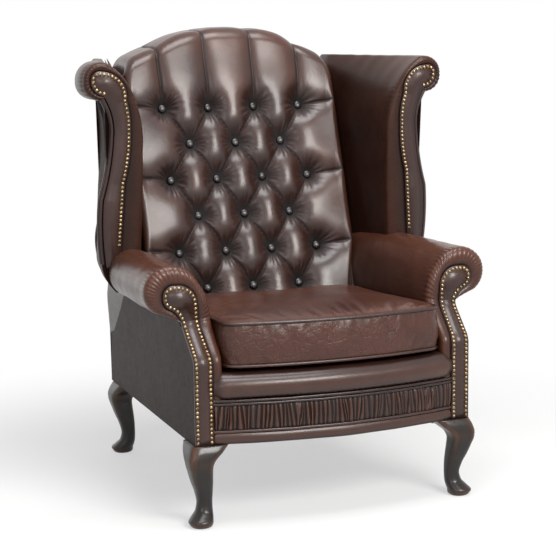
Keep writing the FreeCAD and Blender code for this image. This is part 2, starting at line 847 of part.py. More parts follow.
def crease_tool(start, end, depth_share=0.62, half_width=6.0):
    """A V-shaped pleat between two (x, height) places on the pad's front."""
    a = V(start[0], button_y(start[1]), start[1])
    b = V(end[0], button_y(end[1]), end[1])
    slant = math.radians(n.inner_rake)
    outward = V(0, -math.cos(slant), math.sin(slant))
    along = (b - a).normalize()
    side = along.cross(outward)
    full = n.tuft_depth * math.cos(slant)
    low = full * (1 - depth_share)
    high = full + 6
    wire = Part.makePolygon([
        a + outward * low, a + outward * high + side * half_width,
        a + outward * high - side * half_width, a + outward * low])
    return Part.Face(wire).extrude(b - a)


def crease_places(rows):
    """Diagonal pleats between neighbouring rows, then those that run out to the edges."""
    lines = []
    for lower, upper in zip(rows, rows[1:]):
        for spot in lower:
            for other in upper:
                if abs(abs(spot[0] - other[0]) - n.button_pitch / 2) < 1:
                    lines.append((spot, other))
    for x, height in rows[-1]:
        lines.append(((x, height), (x, n.chair_height + 20)))
    for x, height in rows[0]:
        lines.append(((x, height), (x, n.deck_height)))
    return lines


def make_back():
    """Tufted pad, buttons, posts, rails, webbing and the outside panel."""
    high_half = n.wing_back_inner - 2
    arm_side = seat_half(pad_rear_y(n.arm_height)) - 0.5
    low_side = [(arm_side, n.neck_height), (arm_side + 3.5, arm_z(0.42)),
                (high_half - 1, arm_z(0.82)), (high_half, n.arm_height + 6)]
    bottom = n.deck_height + 1.5
    front = pad_front_offset

    def layer(offset, drop, side_in, base=None):
        if base is None:
            outline = camel_outline(low_side, high_half, bottom, drop, side_in)
        else:
            outline = camel_outline([(high_half, base)], high_half, base, drop)
        return upright_wire(outline, lambda height: button_y(height) + offset)
    slab = loft([
        layer(front, 26, 16), layer(front + 12, 8, 4), layer(front + 34, 0, 0),
        layer(pad_rear_offset, 0, 0)], True)
    crest_low = n.shoulder_height - 26
    crest = loft([layer(pad_rear_offset, 0, 0, crest_low),
                  layer(pad_rear_offset + 170, 0, 0, crest_low)], True)
    limit = side_prism([
        (0, crest_low), (outer_back_y(crest_low) + crest_overhang, crest_low),
        (outer_back_y(n.chair_height - 30) + crest_overhang, n.chair_height - 30),
        (outer_back_y(n.chair_height) - 26, n.chair_height + 1), (0, n.chair_height + 1)],
        -n.wing_reach, n.wing_reach)
    pad = slab.fuse(crest.common(limit)).removeSplitter()
    rows = button_places()
    tools = [tuft_tool(x, height) for row in rows for x, height in row]
    tools += [crease_tool(start, end) for start, end in crease_places(rows)]
    for tool in tools:
        pad = pad.cut(tool)
    pad = pad.cut(top_rail(gap))
    cushion_space = block(-n.arm_reach, n.arm_reach, 0, cushion_back_y() + 6.5, 0,
                          n.button_height)
    keep_shape("back_pad", pad.cut(cushion_space))

    slant = math.radians(n.inner_rake)
    buttons = []
    for row in rows:
        for x, height in row:
            seat = V(x, button_y(height), height)
            dome = button_dome()
            dome.rotate(V(0, 0, 0), V(1, 0, 0), 90 - n.inner_rake)
            outward = V(0, -math.cos(slant), math.sin(slant))
            buttons.append(dome.translated(seat + outward * 0.3))
    keep_group("back_buttons", buttons)


def button_dome():
    radius = n.button_radius - 0.8
    high, edge = 7.2, 2.2
    return cap(radius, high - edge, edge).fuse(Part.makeCylinder(radius, edge))


def cap(radius, rise, base):
    """The top of a ball: as wide as radius where it leaves z = base, and rise high."""
    ball = (radius ** 2 + rise ** 2) / (2 * rise)
    whole = Part.makeSphere(ball, V(0, 0, base + rise - ball))
    return whole.common(Part.makeBox(4 * ball, 4 * ball, rise + 1, V(-2 * ball, -2 * ball, base)))


post_front_offset = pad_rear_offset + webbing_thick + 2 * gap
top_rail_offset = post_front_offset + webbing_thick + 0.2


def slanted(outline, offset, thick):
    """A front-view outline on the back's slope, made thick towards the rear."""
    wire = upright_wire(outline, lambda height: button_y(height) + offset)
    return Part.Face(wire).extrude(V(0, thick, 0))


def top_rail(grow):
    """The shaped rail under the crest; grown, it is the pocket that the pad leaves for it."""
    half = float(board_x) - gap + grow
    low = n.shoulder_height - 96 - grow
    outline = camel_outline([(half, low)], half, low, 34 - grow)
    return slanted(outline, top_rail_offset - grow, back_rail_thick + 2 * grow)


def make_back_frame():
    """Posts between the seat rails and the crest, cross rails, webbing, outside panel."""
    top_z = post_top
    shelf = float(rail_top) + gap
    foot_y = back_board_y - post_foot_depth

    def front_edge(height):
        return button_y(height) + post_front_offset

    def back_edge(height):
        return outer_back_y(height) - n.panel_thick - gap - 0.2
    corners = [
        (foot_y, rail_bottom), (foot_y, Size(shelf)), (Size(front_edge(shelf + 8)), Size(shelf + 8)),
        (Size(front_edge(top_z)), Size(top_z)), (Size(back_edge(top_z)), Size(top_z)),
        (Size(back_edge(float(rail_bottom))), rail_bottom)]
    for name, at_x in (("right", board_x), ("left", -board_x - cell("board_thick"))):
        prism_body("back_post_" + name, "YZ_Plane", corners, cell("board_thick"), (at_x, 0, 0))

    half = float(board_x) - gap
    keep_shape("back_top_rail", top_rail(0.0))
    low = n.deck_height + 30
    keep_shape("back_lower_rail", slanted([
        (-half, low), (half, low), (half, low + 48), (-half, low + 48)],
        top_rail_offset, back_rail_thick))

    straps = []
    outer_half = float(board_x) + n.board_thick - 1
    for index in range(5):
        z = n.button_height + 20 + index * 100
        straps.append(slanted([
            (-outer_half, z), (outer_half, z), (outer_half, z + 50), (-outer_half, z + 50)],
            pad_rear_offset + gap, webbing_thick))
    for x in (-150, 0, 150):
        straps.append(slanted([
            (x - 25, low + 6), (x + 25, low + 6), (x + 25, n.shoulder_height - 44),
            (x - 25, n.shoulder_height - 44)], post_front_offset - 0.1, webbing_thick))
    keep_group("back_webbing", straps)

    base = n.leg_height + gap
    crest_low = n.shoulder_height - 26

    def panel_plane(height):
        return outer_back_y(height) - n.panel_thick
    bump = (roll_reach(arm_end_y) + 3, arm_z(0.56))
    above = (wing_back_outer + 6, wing_z(0.12))
    wire = upright_wire([
        (-n.back_half, base), (n.back_half, base), (n.back_half, n.neck_height),
        ("arc", bump, above), (above[0], crest_low - 1), (-above[0], crest_low - 1),
        (-above[0], above[1]), ("arc", (-bump[0], bump[1]), (-n.back_half, n.neck_height))],
        panel_plane)
    keep_shape("outside_back", Part.Face(wire).extrude(V(0, n.panel_thick, 0)))


def make_seat_front():
    """Front roll, double welt, ruched band, lower welt and lower band along the bow."""
    radius = n.piping_radius
    base = n.leg_height + gap
    welt_low = base + 24 + radius + gap
    ruche_low = welt_low + radius + gap
    ruche_high = ruche_low + 52
    welt_one = ruche_high + radius + gap
    welt_two = welt_one + 2 * radius + gap
    roll_low = welt_two + radius + gap
    top = float(rail_top) + gap
    bowed_section("lower_band", [
        (-8.4, base), (-2, base), ("arc", (0.6, base + 12), (-2, base + 24)), (-8.4, base + 24)])

    keep_shape("welt_lower", bowed_welt(welt_low))
    keep_group("welt_upper", [bowed_welt(welt_one), bowed_welt(welt_two)])
    bowed_section("front_roll", [
        (-FRONT_RAIL_SET + 1, roll_low),
        ("arc", (roll_bulge, (roll_low + roll_top) / 2 + 2), (-14, roll_top)),
        (-roll_depth, roll_top), (-roll_depth, top), (-FRONT_RAIL_SET, top),
        (-FRONT_RAIL_SET, roll_low)])
    keep_shape("ruched_band", ruched_solid(ruche_low, ruche_high))


def bowed_welt(height):
    """A round cord that follows the bow at one height, its ends square to it."""
    reach = bow_radius - 2
    half_turn = math.asin((front_end - gap) / (reach + n.piping_radius))

    def at(angle):
        return V(reach * math.sin(angle), bow_centre_y - reach * math.cos(angle), height)
    path = Part.Wire([Part.Arc(at(-half_turn), at(0), at(half_turn)).toShape()])
    start = V(math.cos(half_turn), -math.sin(half_turn), 0)
    ring = Part.Wire([Part.makeCircle(n.piping_radius, at(-half_turn), start)])
    return path.makePipeShell([ring], True, False)


def ruched_solid(low, high):
    """Gathers: a row of small half-round folds that follow the bow."""
    half_turn = math.asin((front_end - gap) / bow_radius)
    count = int(n.gather_count)
    depth = 3.2

    def at(angle, offset):
        reach = bow_radius + offset
        return V(reach * math.sin(angle), bow_centre_y - reach * math.cos(angle), low)
    edges = []
    step = 2 * half_turn / count
    for index in range(count):
        start = -half_turn + index * step
        swell = depth * (0.75 + 0.25 * math.sin(index * 2.4))
        edges.append(Part.Arc(at(start, -2), at(start + step / 2, -2 + swell),
                              at(start + step, -2)).toShape())
    edges.append(Part.makeLine(at(half_turn, -2), at(half_turn, -8.4)))
    edges.append(Part.Arc(at(half_turn, -8.4), at(0, -8.4), at(-half_turn, -8.4)).toShape())
    edges.append(Part.makeLine(at(-half_turn, -8.4), at(-half_turn, -2)))
    return Part.Face(Part.Wire(edges)).extrude(V(0, 0, high - low))


def cushion_back_y():
    """The cushion's back seam, against the lower edge of the back pad."""
    return n.button_setback - n.tuft_depth - 15.0


def cushion_wire(inset, height):
    """The cushion's plan at one level: bowed front, sides drawn in between the corners."""
    front = cushion_front + inset
    back = cushion_back_y() - inset
    side_gap = 7.0
    half_front = seat_half(0) - side_gap - inset
    half_back = seat_half(back) - side_gap - inset
    middle_y = (front + back) / 2
    bow = n.front_bow * (half_front / front_end) ** 2
    drawn = 2.5
    half_mid = (half_front + half_back) / 2 - drawn
    plan = flat_wire([
        (half_front, front + bow), ("arc", (half_mid, middle_y), (half_back, back)),
        ("arc", (0, back - drawn), (-half_back, back)),
        ("arc", (-half_mid, middle_y), (-half_front, front + bow)),
        ("arc", (0, front), (half_front, front + bow))], 0)
    slab = Part.Face(plan).extrude(V(0, 0, 10))
    upright = [edge for edge in slab.Edges
               if abs(edge.Vertexes[0].Z - edge.Vertexes[-1].Z) > 5]
    rounded = slab.makeFillet(max(26.0 - inset * 0.1, 8.0), upright)
    wire = rounded.slice(V(0, 0, 1), 5)[0]
    wire.translate(V(0, 0, height - 5))
    return wire


cushion_front = -36.0


def make_cushion():
    """The loose cushion: swelled border between two seams, crowned top, flat underside."""
    seam_low = n.deck_height + 6
    seam_high = seam_low + n.cushion_height
    swell = n.cushion_bulge
    border = loft([
        cushion_wire(0, seam_low), cushion_wire(-swell * 0.8, seam_low + n.cushion_height * 0.25),
        cushion_wire(-swell, seam_low + n.cushion_height * 0.5),
        cushion_wire(-swell * 0.8, seam_low + n.cushion_height * 0.75),
        cushion_wire(0, seam_high)])
    crown = loft([
        cushion_wire(0, seam_high), cushion_wire(28, seam_high + n.cushion_crown * 0.45),
        cushion_wire(80, seam_high + n.cushion_crown * 0.84),
        cushion_wire(140, seam_high + n.cushion_crown)], True)
    under = loft([cushion_wire(24, n.deck_height + 0.3), cushion_wire(0, seam_low)], True)
    keep_shape("seat_cushion", border.fuse([crown, under]))
    for name, height in (("cushion_piping_top", seam_high), ("cushion_piping_bottom", seam_low)):
        path = cushion_wire(-1.2, height)
        start = path.Edges[0].Curve.value(path.Edges[0].FirstParameter)
        tangent = path.Edges[0].tangentAt(path.Edges[0].FirstParameter)
        ring = Part.Wire(Part.makeCircle(n.piping_radius, start, tangent))
        keep_shape(name, path.makePipeShell([ring], True, False))


def make_deck():
    """Deck pad, springs, webbing and dust cover, from the cushion down."""
    deck_thick = 44.0
    deck_low = n.deck_height - deck_thick
    inward = roll_depth + gap
    back = float(back_board_y) - n.rail_thick - 4
    half_front = seat_half(0) - 2.5
    half_back = seat_half(back) - 1.5
    corner_y = bow_y(inward, half_front)
    plan = flat_wire([
        (half_front, corner_y), (half_back, back), (-half_back, back), (-half_front, corner_y),
        ("arc", (0, bow_y(inward, 0)), (half_front, corner_y))], deck_low)
    keep_shape("seat_deck", Part.Face(plan).extrude(V(0, 0, deck_thick)))

    web_low = n.leg_height + 2.6
    spring_low = web_low + 2 * webbing_thick + 2 * 0.2
    coils = []
    columns = (-150.0, 0.0, 150.0)
    rows = (140.0, 320.0, 500.0)
    for x in columns:
        for y in rows:
            coils.append(spring_sleeve(spring_low + 0.2, deck_low - 0.2).translated(V(x, y, 0)))
    keep_group("seat_springs", coils)
    straps = []
    for x in columns:
        straps.append(block(x - 40, x + 40, rail_back_y(x) - 20, float(back_board_y) - 2,
                            web_low, web_low + webbing_thick))
    for y in rows:
        half = body_half(y) - n.panel_thick - 2.0
        straps.append(block(-half, half, y - 40, y + 40, web_low + webbing_thick + 0.2,
                            web_low + 2 * webbing_thick + 0.2))
    keep_group("seat_webbing", straps)

    end = float(back_board_y)
    cover = flat_wire([
        (front_end - 2, n.facing_thick + 3), (body_half(end) - n.panel_thick - 1, end),
        (-(body_half(end) - n.panel_thick - 1), end), (-front_end + 2, n.facing_thick + 3),
        ("arc", (0, -n.front_bow + 12), (front_end - 2, n.facing_thick + 3))],
        n.leg_height + 0.3)
    sheet_solid = Part.Face(cover).extrude(V(0, 0, 1.2))
    for side in (1, -1):
        for place in leg_blocks():
            sheet_solid = sheet_solid.cut(leg_block(place, side, gap))
    keep_shape("dust_cover", sheet_solid)


def leg_blocks():
    """Plan of each leg's top block: the front and rear ones, as x and y limits."""
    front = (front_end - 30, front_end + 30, 9.0, 72.0)
    rear_y = float(back_board_y)
    rear = (n.back_half - 72, float(board_x) + n.board_thick - 2, rear_y - 84, rear_y - 1)
    return front, rear


def leg_block(place, side, grow=0.0):
    """The block on a leg's top that passes the dust cover and meets the frame."""
    x_low, x_high, y_low, y_high = place
    shape = block(x_low - grow, x_high + grow, y_low - grow, y_high + grow,
                  n.leg_height - 2, float(rail_bottom) - 0.3)
    return shape if side > 0 else mirrored(shape)


def spring_sleeve(low, high):
    """An hourglass sleeve in the place of one coil spring."""
    wide, waist, wall = 38.0, 27.0, 4.0
    middle = (low + high) / 2
    wire = Part.Wire([
        Part.Arc(V(wide, 0, low), V(waist, 0, middle), V(wide, 0, high)).toShape(),
        Part.makeLine(V(wide, 0, high), V(wide - wall, 0, high)),
        Part.Arc(V(wide - wall, 0, high), V(waist - wall, 0, middle),
                 V(wide - wall, 0, low)).toShape(),
        Part.makeLine(V(wide - wall, 0, low), V(wide, 0, low))])
    return Part.Face(wire).revolve(V(0, 0, 0), V(0, 0, 1), 360)


# A cabriole leg's levels: height share, outermost x past the body corner, side, corner share.
LEG_LEVELS = (
    (0.0, 6.0, 42.0, 0.48), (0.03, 10.0, 50.0, 0.48), (0.066, 13.0, 54.0, 0.48),
    (0.122, 5.0, 48.0, 0.48), (0.193, -6.0, 38.0, 0.48), (0.287, -10.0, 34.0, 0.46),
    (0.414, -5.5, 38.0, 0.40), (0.541, 3.0, 45.0, 0.34), (0.663, 10.0, 50.0, 0.30),
    (0.762, 15.0, 55.0, 0.26), (0.829, 16.0, 62.0, 0.22), (0.912, 13.0, 76.0, 0.16),
    (1.0, 6.0, 86.0, 0.12))


def rounded_square(x_high, y_low, side, corner, height):
    """A square with round corners, whose outer corner is at (x_high, y_low)."""
    r = side * corner
    x0, x1 = x_high - side, x_high
    y0, y1 = y_low, y_low + side
    k = r * (1 - math.sqrt(0.5))
    return flat_wire([
        (x0 + r, y0), (x1 - r, y0), ("arc", (x1 - k, y0 + k), (x1, y0 + r)),
        (x1, y1 - r), ("arc", (x1 - k, y1 - k), (x1 - r, y1)),
        (x0 + r, y1), ("arc", (x0 + k, y1 - k), (x0, y1 - r)),
        (x0, y0 + r), ("arc", (x0 + k, y0 + k), (x0 + r, y0))], height)


def make_legs():
    """Four cabriole legs: pad foot, slim ankle, knee and bracket, and their bolts."""
    wires = []
    for share, out, side, corner in LEG_LEVELS:
        wires.append(rounded_square(n.front_half + out, -out, side, corner,
                                    share * n.leg_height))
    front = loft(wires)
    front_place, rear_place = leg_blocks()
    keep_pair("leg_front", front.fuse(leg_block(front_place, 1)))
    turned = front.mirror(V(0, 0, 0), V(0, 1, 0))
    rear = turned.translated(V(n.back_half - n.front_half, n.body_depth - REAR_LEG_SET, 0))
    keep_pair("leg_rear", rear.fuse(leg_block(rear_place, 1)))
    bolts = []
    front_at = (front_end - 12, 68.0)
    rear_at = (float(board_x) + n.board_thick / 2, float(back_board_y) - post_foot_depth / 2)
    for x, y in (front_at, rear_at):
        for side in (1, -1):
            bolts.append(Part.makeCylinder(4, 74, V(side * x, y, n.leg_height - 22)))
    keep_group("leg_bolts", bolts)


REAR_LEG_SET = 16.0


def nail():
    """A domed head, its flat back at z = 0, on a short shank."""
    dome = cap(n.nail_radius, n.nail_radius * 0.62, 0)
    return dome.fuse(Part.makeCone(0.2, 0.7, 7, V(0, 0, -6.9)))


def nail_row(wire, wanted, y_at, pitch):
    """Nails along a flat outline, kept where wanted(x, z) holds, seated on y_at."""
    count = int(round(wire.Length / pitch))
    spots = wire.discretize(Number=count + 1)[:-1]
    nails = []
    for spot in spots:
        if not wanted(spot.x, spot.z):
            continue
        ahead = y_at(spot.z + 1) - y_at(spot.z - 1)
        tilt = math.degrees(math.atan2(ahead, 2))
        one = nail()
        one.rotate(V(0, 0, 0), V(1, 0, 0), 90 - tilt)
        nails.append(one.translated(V(spot.x, y_at(spot.z) - 0.02, spot.z)))
    return nails


def make_nails():
    arm = upright_wire(arm_facing_outline(n.leg_height + 0.4), lambda height: 0.0)
    path = arm.makeOffset2D(-n.nail_inset)
    nails = nail_row(path, lambda x, z: True, facing_y, n.nail_pitch)
    keep_group("arm_nails_right", nails)
    keep_group("arm_nails_left", [mirrored(one) for one in nails])
    wing = upright_wire(wing_facing_outline(n.arm_height - 6), lambda height: 0.0)
    path = wing.makeOffset2D(-n.nail_inset)

    def inner_side(x, z):
        low = z < wing_z(0.60)
        middle = wing_x(0.48) - (wing_x(0.05) - wing_x(0.0)) * (1 - (z - n.arm_height) / 300)
        if z < n.arm_height + 6:
            return False
        if low:
            return x < wing_x(0.40) + (wing_x(0.55) - wing_x(0.40)) * (1 - (z - n.arm_height) / (
                wing_z(0.60) - n.arm_height))
        return x < wing_x(0.42) or z > wing_z(0.815)
    nails = nail_row(path, inner_side, wing_front_y, n.nail_pitch)
    keep_group("wing_nails_right", nails)
    keep_group("wing_nails_left", [mirrored(one) for one in nails])


make_seat_frame()
make_arms()
make_wings()
make_back()
make_back_frame()
make_seat_front()
make_cushion()
make_deck()
make_legs()
make_nails()
doc.recompute()

for item in doc.Objects:
    if "Invalid" in item.State or "Error" in item.State:
        raise RuntimeError("%s did not build: %s" % (item.Label, item.State))
for label, made in pieces:
    if made.Shape.isNull() or not made.Shape.isValid() or not made.Shape.Solids:
        raise RuntimeError("%s has no valid solid" % label)

os.makedirs("parts", exist_ok=True)
for label, made in pieces:
    made.Shape.exportStep(os.path.join("parts", label + ".step"))
whole = Part.makeCompound([made.Shape for label, made in pieces]).BoundBox
print("nodes", len(pieces))
print("box", [round(number, 1) for number in (
    whole.XMin, whole.XMax, whole.YMin, whole.YMax, whole.ZMin, whole.ZMax)])
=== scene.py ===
import json
import math

import bmesh
import bpy
import numpy as np
from bpy.props import FloatProperty, FloatVectorProperty, IntProperty, PointerProperty
from mathutils import Matrix, Vector


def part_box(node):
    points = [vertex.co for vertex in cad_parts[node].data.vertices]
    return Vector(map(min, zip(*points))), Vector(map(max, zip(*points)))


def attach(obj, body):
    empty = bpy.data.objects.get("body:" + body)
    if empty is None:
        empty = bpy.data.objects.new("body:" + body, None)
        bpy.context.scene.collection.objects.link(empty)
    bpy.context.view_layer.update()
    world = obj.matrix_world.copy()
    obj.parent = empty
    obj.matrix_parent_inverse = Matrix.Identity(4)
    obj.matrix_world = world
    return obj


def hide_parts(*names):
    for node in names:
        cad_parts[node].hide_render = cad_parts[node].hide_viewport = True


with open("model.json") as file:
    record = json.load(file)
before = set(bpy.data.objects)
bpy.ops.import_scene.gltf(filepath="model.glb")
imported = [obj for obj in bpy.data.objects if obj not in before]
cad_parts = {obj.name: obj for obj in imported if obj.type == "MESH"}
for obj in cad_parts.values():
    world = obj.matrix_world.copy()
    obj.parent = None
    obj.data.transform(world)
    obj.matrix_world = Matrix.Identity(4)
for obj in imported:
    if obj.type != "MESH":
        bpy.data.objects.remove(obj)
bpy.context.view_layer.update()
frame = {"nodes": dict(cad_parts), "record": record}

bl_info = {
    "name": "Wingback armchair",
    "version": (1, 0, 0),
    "blender": (4, 5, 0),
    "location": "3D View > Sidebar > Armchair",
    "description": "Leather, nails, piping, legs and stage for a deep-buttoned wing chair",
    "category": "Object",
}

# Shapes are worked out in chair coordinates, in millimetres: X = 0 on the centre line,
# Y = 0 on the front face of the arm facings, Z = 0 on the floor.
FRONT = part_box("arm_facing_right")[0][1]

# Body
BODY_DEPTH = 745.0
FRONT_HALF, BACK_HALF = 328.0, 294.0
SEAT_HALF_FRONT, SEAT_HALF_BACK = 262.0, 248.0
LEG_HEIGHT = 181.0
OUTER_LEAN = math.tan(math.radians(2.3))
RAKE_ANGLE = math.radians(18.2)
RAKE = math.tan(RAKE_ANGLE)
FACING_INNER = 286.0
# Arms
ELBOW, NECK, ARM_TOP = 368.0, 437.0, 562.0
NECK_SETBACK = 71.0
ARM_REACH = 413.0
ROLL_DEPTHS = (-5.0, 377.0, 560.0, 749.0)
ROLL_SHARES = (1.0, 1.03, 0.74, 0.30)
# The pad's foot, and how many of its outline's points lie below the elbow
ARM_FOOT, UPRIGHT_POINTS = 268.0, 14
# Wings
WING_INNER, WING_REACH, WING_TOP = 309.0, 449.0, 993.0
WING_FOOT = 522.0
WING_BACK_INNER, WING_BACK_OUTER = 276.0, 300.0
WING_SETBACK = 377.0
WING_SLOPE = -math.tan(math.radians(3))
# The wing pad's hidden outer side, as shares of its width and height
WING_OUTER_SIDE = ((0.50, 0.72), (0.50, 0.60), (0.53, 0.45), (0.58, 0.30))
# Back
BACK_TOP, SHOULDER = 1067.0, 988.0
BUTTON_LOW, BUTTON_SETBACK = 450.0, 499.0
BUTTON_COUNTS = (3, 4, 3, 4, 3, 4)
# The pad's front stands before the button plane, its back lies behind it.
PAD_PUFF, PAD_REAR = 36.0, 45.0
# From the pads to the outside back's face, and to the back pad's rear
OUTSIDE_GAP, REAR_GAP = 5.9, 1.9
PAD_LOW, CREST_HALF = 398.0, 274.0
# Above this height the back keeps its full width.
BACK_SPLIT = 860.0
# How far the crest's cover hangs over the outside back
CREST_OVERHANG = 8
HIDDEN_ROWS = 12
BACK_WIDTHS = ((400, 250), (437, 251), (489.5, 262), (539.5, 273), (568, CREST_HALF))
# Shares of the way from the middle to the top corner, and of the rise above the shoulder
CREST_LINE = (
    (0.0, 1.0), (0.12, 0.995), (0.26, 0.955), (0.46, 0.80), (0.64, 0.555), (0.80, 0.31),
    (0.92, 0.115), (1.0, 0.0))
# Seat
BOW = 42.0
BOW_RADIUS = (FACING_INNER ** 2 + BOW ** 2) / (2 * BOW)
BOW_CENTRE = BOW_RADIUS - BOW
SEAM_LOW = 350.0
# The loose cushion's plan: front and back, its gap to the arms, corner radius and points
CUSHION_FRONT, CUSHION_BACK, CUSHION_GAP = -36.0, 448.0, 7
CUSHION_CORNER, CUSHION_POINTS = 34.0, 260
CUSHION_FOOT = 344.4
UPPER_WELTS, LOWER_WELT = (269.1, 276.5), (209.3,)
RUCHE_LOW, RUCHE_HIGH = 213.0, 265.4

SIDES = (("right", 1.0), ("left", -1.0))


def to_frame(points):
    """Chair coordinates in millimetres to the frame's metres."""
    moved = np.asarray(points, float) * 0.001
    moved[..., 1] += FRONT
    return moved


# ---------------------------------------------------------------- sizes a user may change
class BackSizes(bpy.types.PropertyGroup):
    pitch: FloatProperty(
        name="Button pitch", description="Spacing of the buttons across a row",
        default=0.120, unit="LENGTH")
    rise: FloatProperty(
        name="Row rise", description="Height from one button row to the next",
        default=0.086, unit="LENGTH")
    depth: FloatProperty(
        name="Tuft depth", description="How far a button is drawn into the pad",
        default=0.034, unit="LENGTH")
    pleat_reach: FloatProperty(
        name="Pleat reach", description="How far a pleat pulls the leather down beside it",
        default=0.0175, unit="LENGTH")
    button_radius: FloatProperty(
        name="Button radius", description="Radius of a covered button",
        default=0.0104, unit="LENGTH")


class SeatSizes(bpy.types.PropertyGroup):
    crown: FloatProperty(
        name="Cushion crown", description="Rise of the cushion's top above its seam",
        default=0.015, unit="LENGTH")
    border: FloatProperty(
        name="Cushion border", description="Bottom seam to top seam",
        default=0.095, unit="LENGTH")
    piping: FloatProperty(
        name="Piping radius", description="Radius of the pipings and welts",
        default=0.0036, unit="LENGTH")
    gathers: IntProperty(
        name="Gathers", description="Folds in the ruched band", default=66, min=8, max=200)
    gather_depth: FloatProperty(
        name="Gather depth", description="How far the folds stand out",
        default=0.0062, unit="LENGTH")


class NailSizes(bpy.types.PropertyGroup):
    radius: FloatProperty(
        name="Nail radius", description="Radius of a nail's dome", default=0.0038,
        unit="LENGTH")
    pitch: FloatProperty(
        name="Nail pitch", description="Spacing of the nails along their row",
        default=0.0095, unit="LENGTH")
    rise: FloatProperty(
        name="Dome height", description="Height of the dome as a share of its radius",
        default=0.66, min=0.2, max=1.0)
    inset: FloatProperty(
        name="Row inset", description="From a facing's edge to its nail row",
        default=0.0055, unit="LENGTH")


class Finishes(bpy.types.PropertyGroup):
    leather: FloatVectorProperty(
        name="Leather", description="The leather's middle tone", subtype="COLOR", size=3,
        min=0, max=1, default=(0.034, 0.0125, 0.0090))
    # Wear and painted highlight: the warm colour for worn places and for highlights painted on
    # ridges, rolls and the crest.
    rubbed: FloatVectorProperty(
        name="Worn and highlit leather", description="Where hands and backs have rubbed it",
        subtype="COLOR", size=3, min=0, max=1, default=(0.092, 0.030, 0.0155))
    # Painted shade: the near-black colour that the crease mark darkens pleats, button pits,
    # gather valleys and seams towards.
    deep: FloatVectorProperty(
        name="Painted crease shade", description="Painted shade in the pleats, pits, gather valleys and seams",
        subtype="COLOR", size=3, min=0, max=1, default=(0.0050, 0.0028, 0.0024))
    ebony: FloatVectorProperty(
        name="Leg wood", description="Ebonised wood of the legs", subtype="COLOR", size=3,
        min=0, max=1, default=(0.012, 0.009, 0.008))
    worn_wood: FloatVectorProperty(
        name="Worn wood", description="Brown wood that shows at the legs' edges",
        subtype="COLOR", size=3, min=0, max=1, default=(0.095, 0.040, 0.018))
    brass: FloatVectorProperty(
        name="Nail brass", description="Antique brass of the nails", subtype="COLOR", size=3,
        min=0, max=1, default=(0.40, 0.29, 0.165))


# ---------------------------------------------------------------- shader maths
# Scales of noise and cells count features per metre, and bump distances are metres.
class Value:
    """A shader socket that Python expressions can add up, scale and compare."""

    def __init__(self, graph, socket):
        self.graph = graph
        self.socket = socket

    def _math(self, operation, *values, clamp=False):
        return self.graph.node(
            "ShaderNodeMath", {"operation": operation, "use_clamp": clamp}, *values)

    def __add__(self, other):
        return self._math("ADD", self, other)

    __radd__ = __add__

    def __sub__(self, other):
        return self._math("SUBTRACT", self, other)

    def __rsub__(self, other):
        return self._math("SUBTRACT", other, self)

    def __mul__(self, other):
        return self._math("MULTIPLY", self, other)

    __rmul__ = __mul__

    def __pow__(self, other):
        return self._math("POWER", self, other)

    def clamped(self):
        return self._math("ADD", self, 0.0, clamp=True)

    def between(self, low, high):
        """0 below low, 1 above high, and a smooth step from one to the other."""
        return self.graph.node(
            "ShaderNodeMapRange", {"interpolation_type": "SMOOTHSTEP", "clamp": True},
            self, low, high, 0.0, 1.0)


class Graph:
    """One material's node tree."""

    def __init__(self, name):
        self.material = bpy.data.materials.new(name)
        self.material.use_nodes = True
        self.tree = self.material.node_tree
        self.tree.nodes.clear()
        self.output = self.tree.nodes.new("ShaderNodeOutputMaterial")
        self.shader = self.tree.nodes.new("ShaderNodeBsdfPrincipled")
        self.tree.links.new(self.shader.outputs[0], self.output.inputs["Surface"])

    def put(self, socket, value):
        if isinstance(value, Value):
            self.tree.links.new(value.socket, socket)
        elif value is not None:
            socket.default_value = value

    def node(self, kind, settings, *values, out=0, **named):
        made = self.tree.nodes.new(kind)
        for key, setting in settings.items():
            setattr(made, key, setting)
        for socket, value in zip(made.inputs, values):
            self.put(socket, value)
        for key, value in named.items():
            self.put(made.inputs[key.replace("_", " ")], value)
        return Value(self, made.outputs[out])

    def place(self):
        return self.node("ShaderNodeTexCoord", {}, out=3)

    def stretched(self, scale):
        return self.node("ShaderNodeMapping", {}, self.place(), Scale=scale)

    def noise(self, scale, detail=3.0, rough=0.5, at=None, distortion=0.0):
        return self.node(
            "ShaderNodeTexNoise", {}, Vector=at or self.place(), Scale=scale, Detail=detail,
            Roughness=rough, Distortion=distortion)

    def cells(self, scale, feature="F1", at=None, out=0):
        return self.node("ShaderNodeTexVoronoi", {"feature": feature}, out=out,
                         Vector=at or self.place(), Scale=scale)

    def attribute(self, name):
        return self.node("ShaderNodeAttribute", {"attribute_name": name}, out=2)

    def mixed(self, factor, first, second):
        made = self.tree.nodes.new("ShaderNodeMix")
        made.data_type = "RGBA"
        for name, value in (("Factor_Float", factor), ("A_Color", first), ("B_Color", second)):
            socket = next(one for one in made.inputs if one.identifier == name)
            if not isinstance(value, Value) and name != "Factor_Float":
                value = (*value[:3], 1.0)
            self.put(socket, value)
        return Value(self, next(
            one for one in made.outputs if one.identifier == "Result_Color"))

    def bump(self, height, distance, strength=1.0, under=None):
        return self.node("ShaderNodeBump", {}, Strength=strength, Distance=distance,
                         Height=height, Normal=under)

    def finish(self, **sockets):
        for key, value in sockets.items():
            if key.endswith("Color") and not isinstance(value, Value):
                value = (*value[:3], 1.0)
            self.put(self.shader.inputs[key.replace("_", " ")], value)
        return self.material


def scaled(colour, amount):
    """A colour made lighter or darker."""
    return tuple(min(1.0, part * amount) for part in colour)


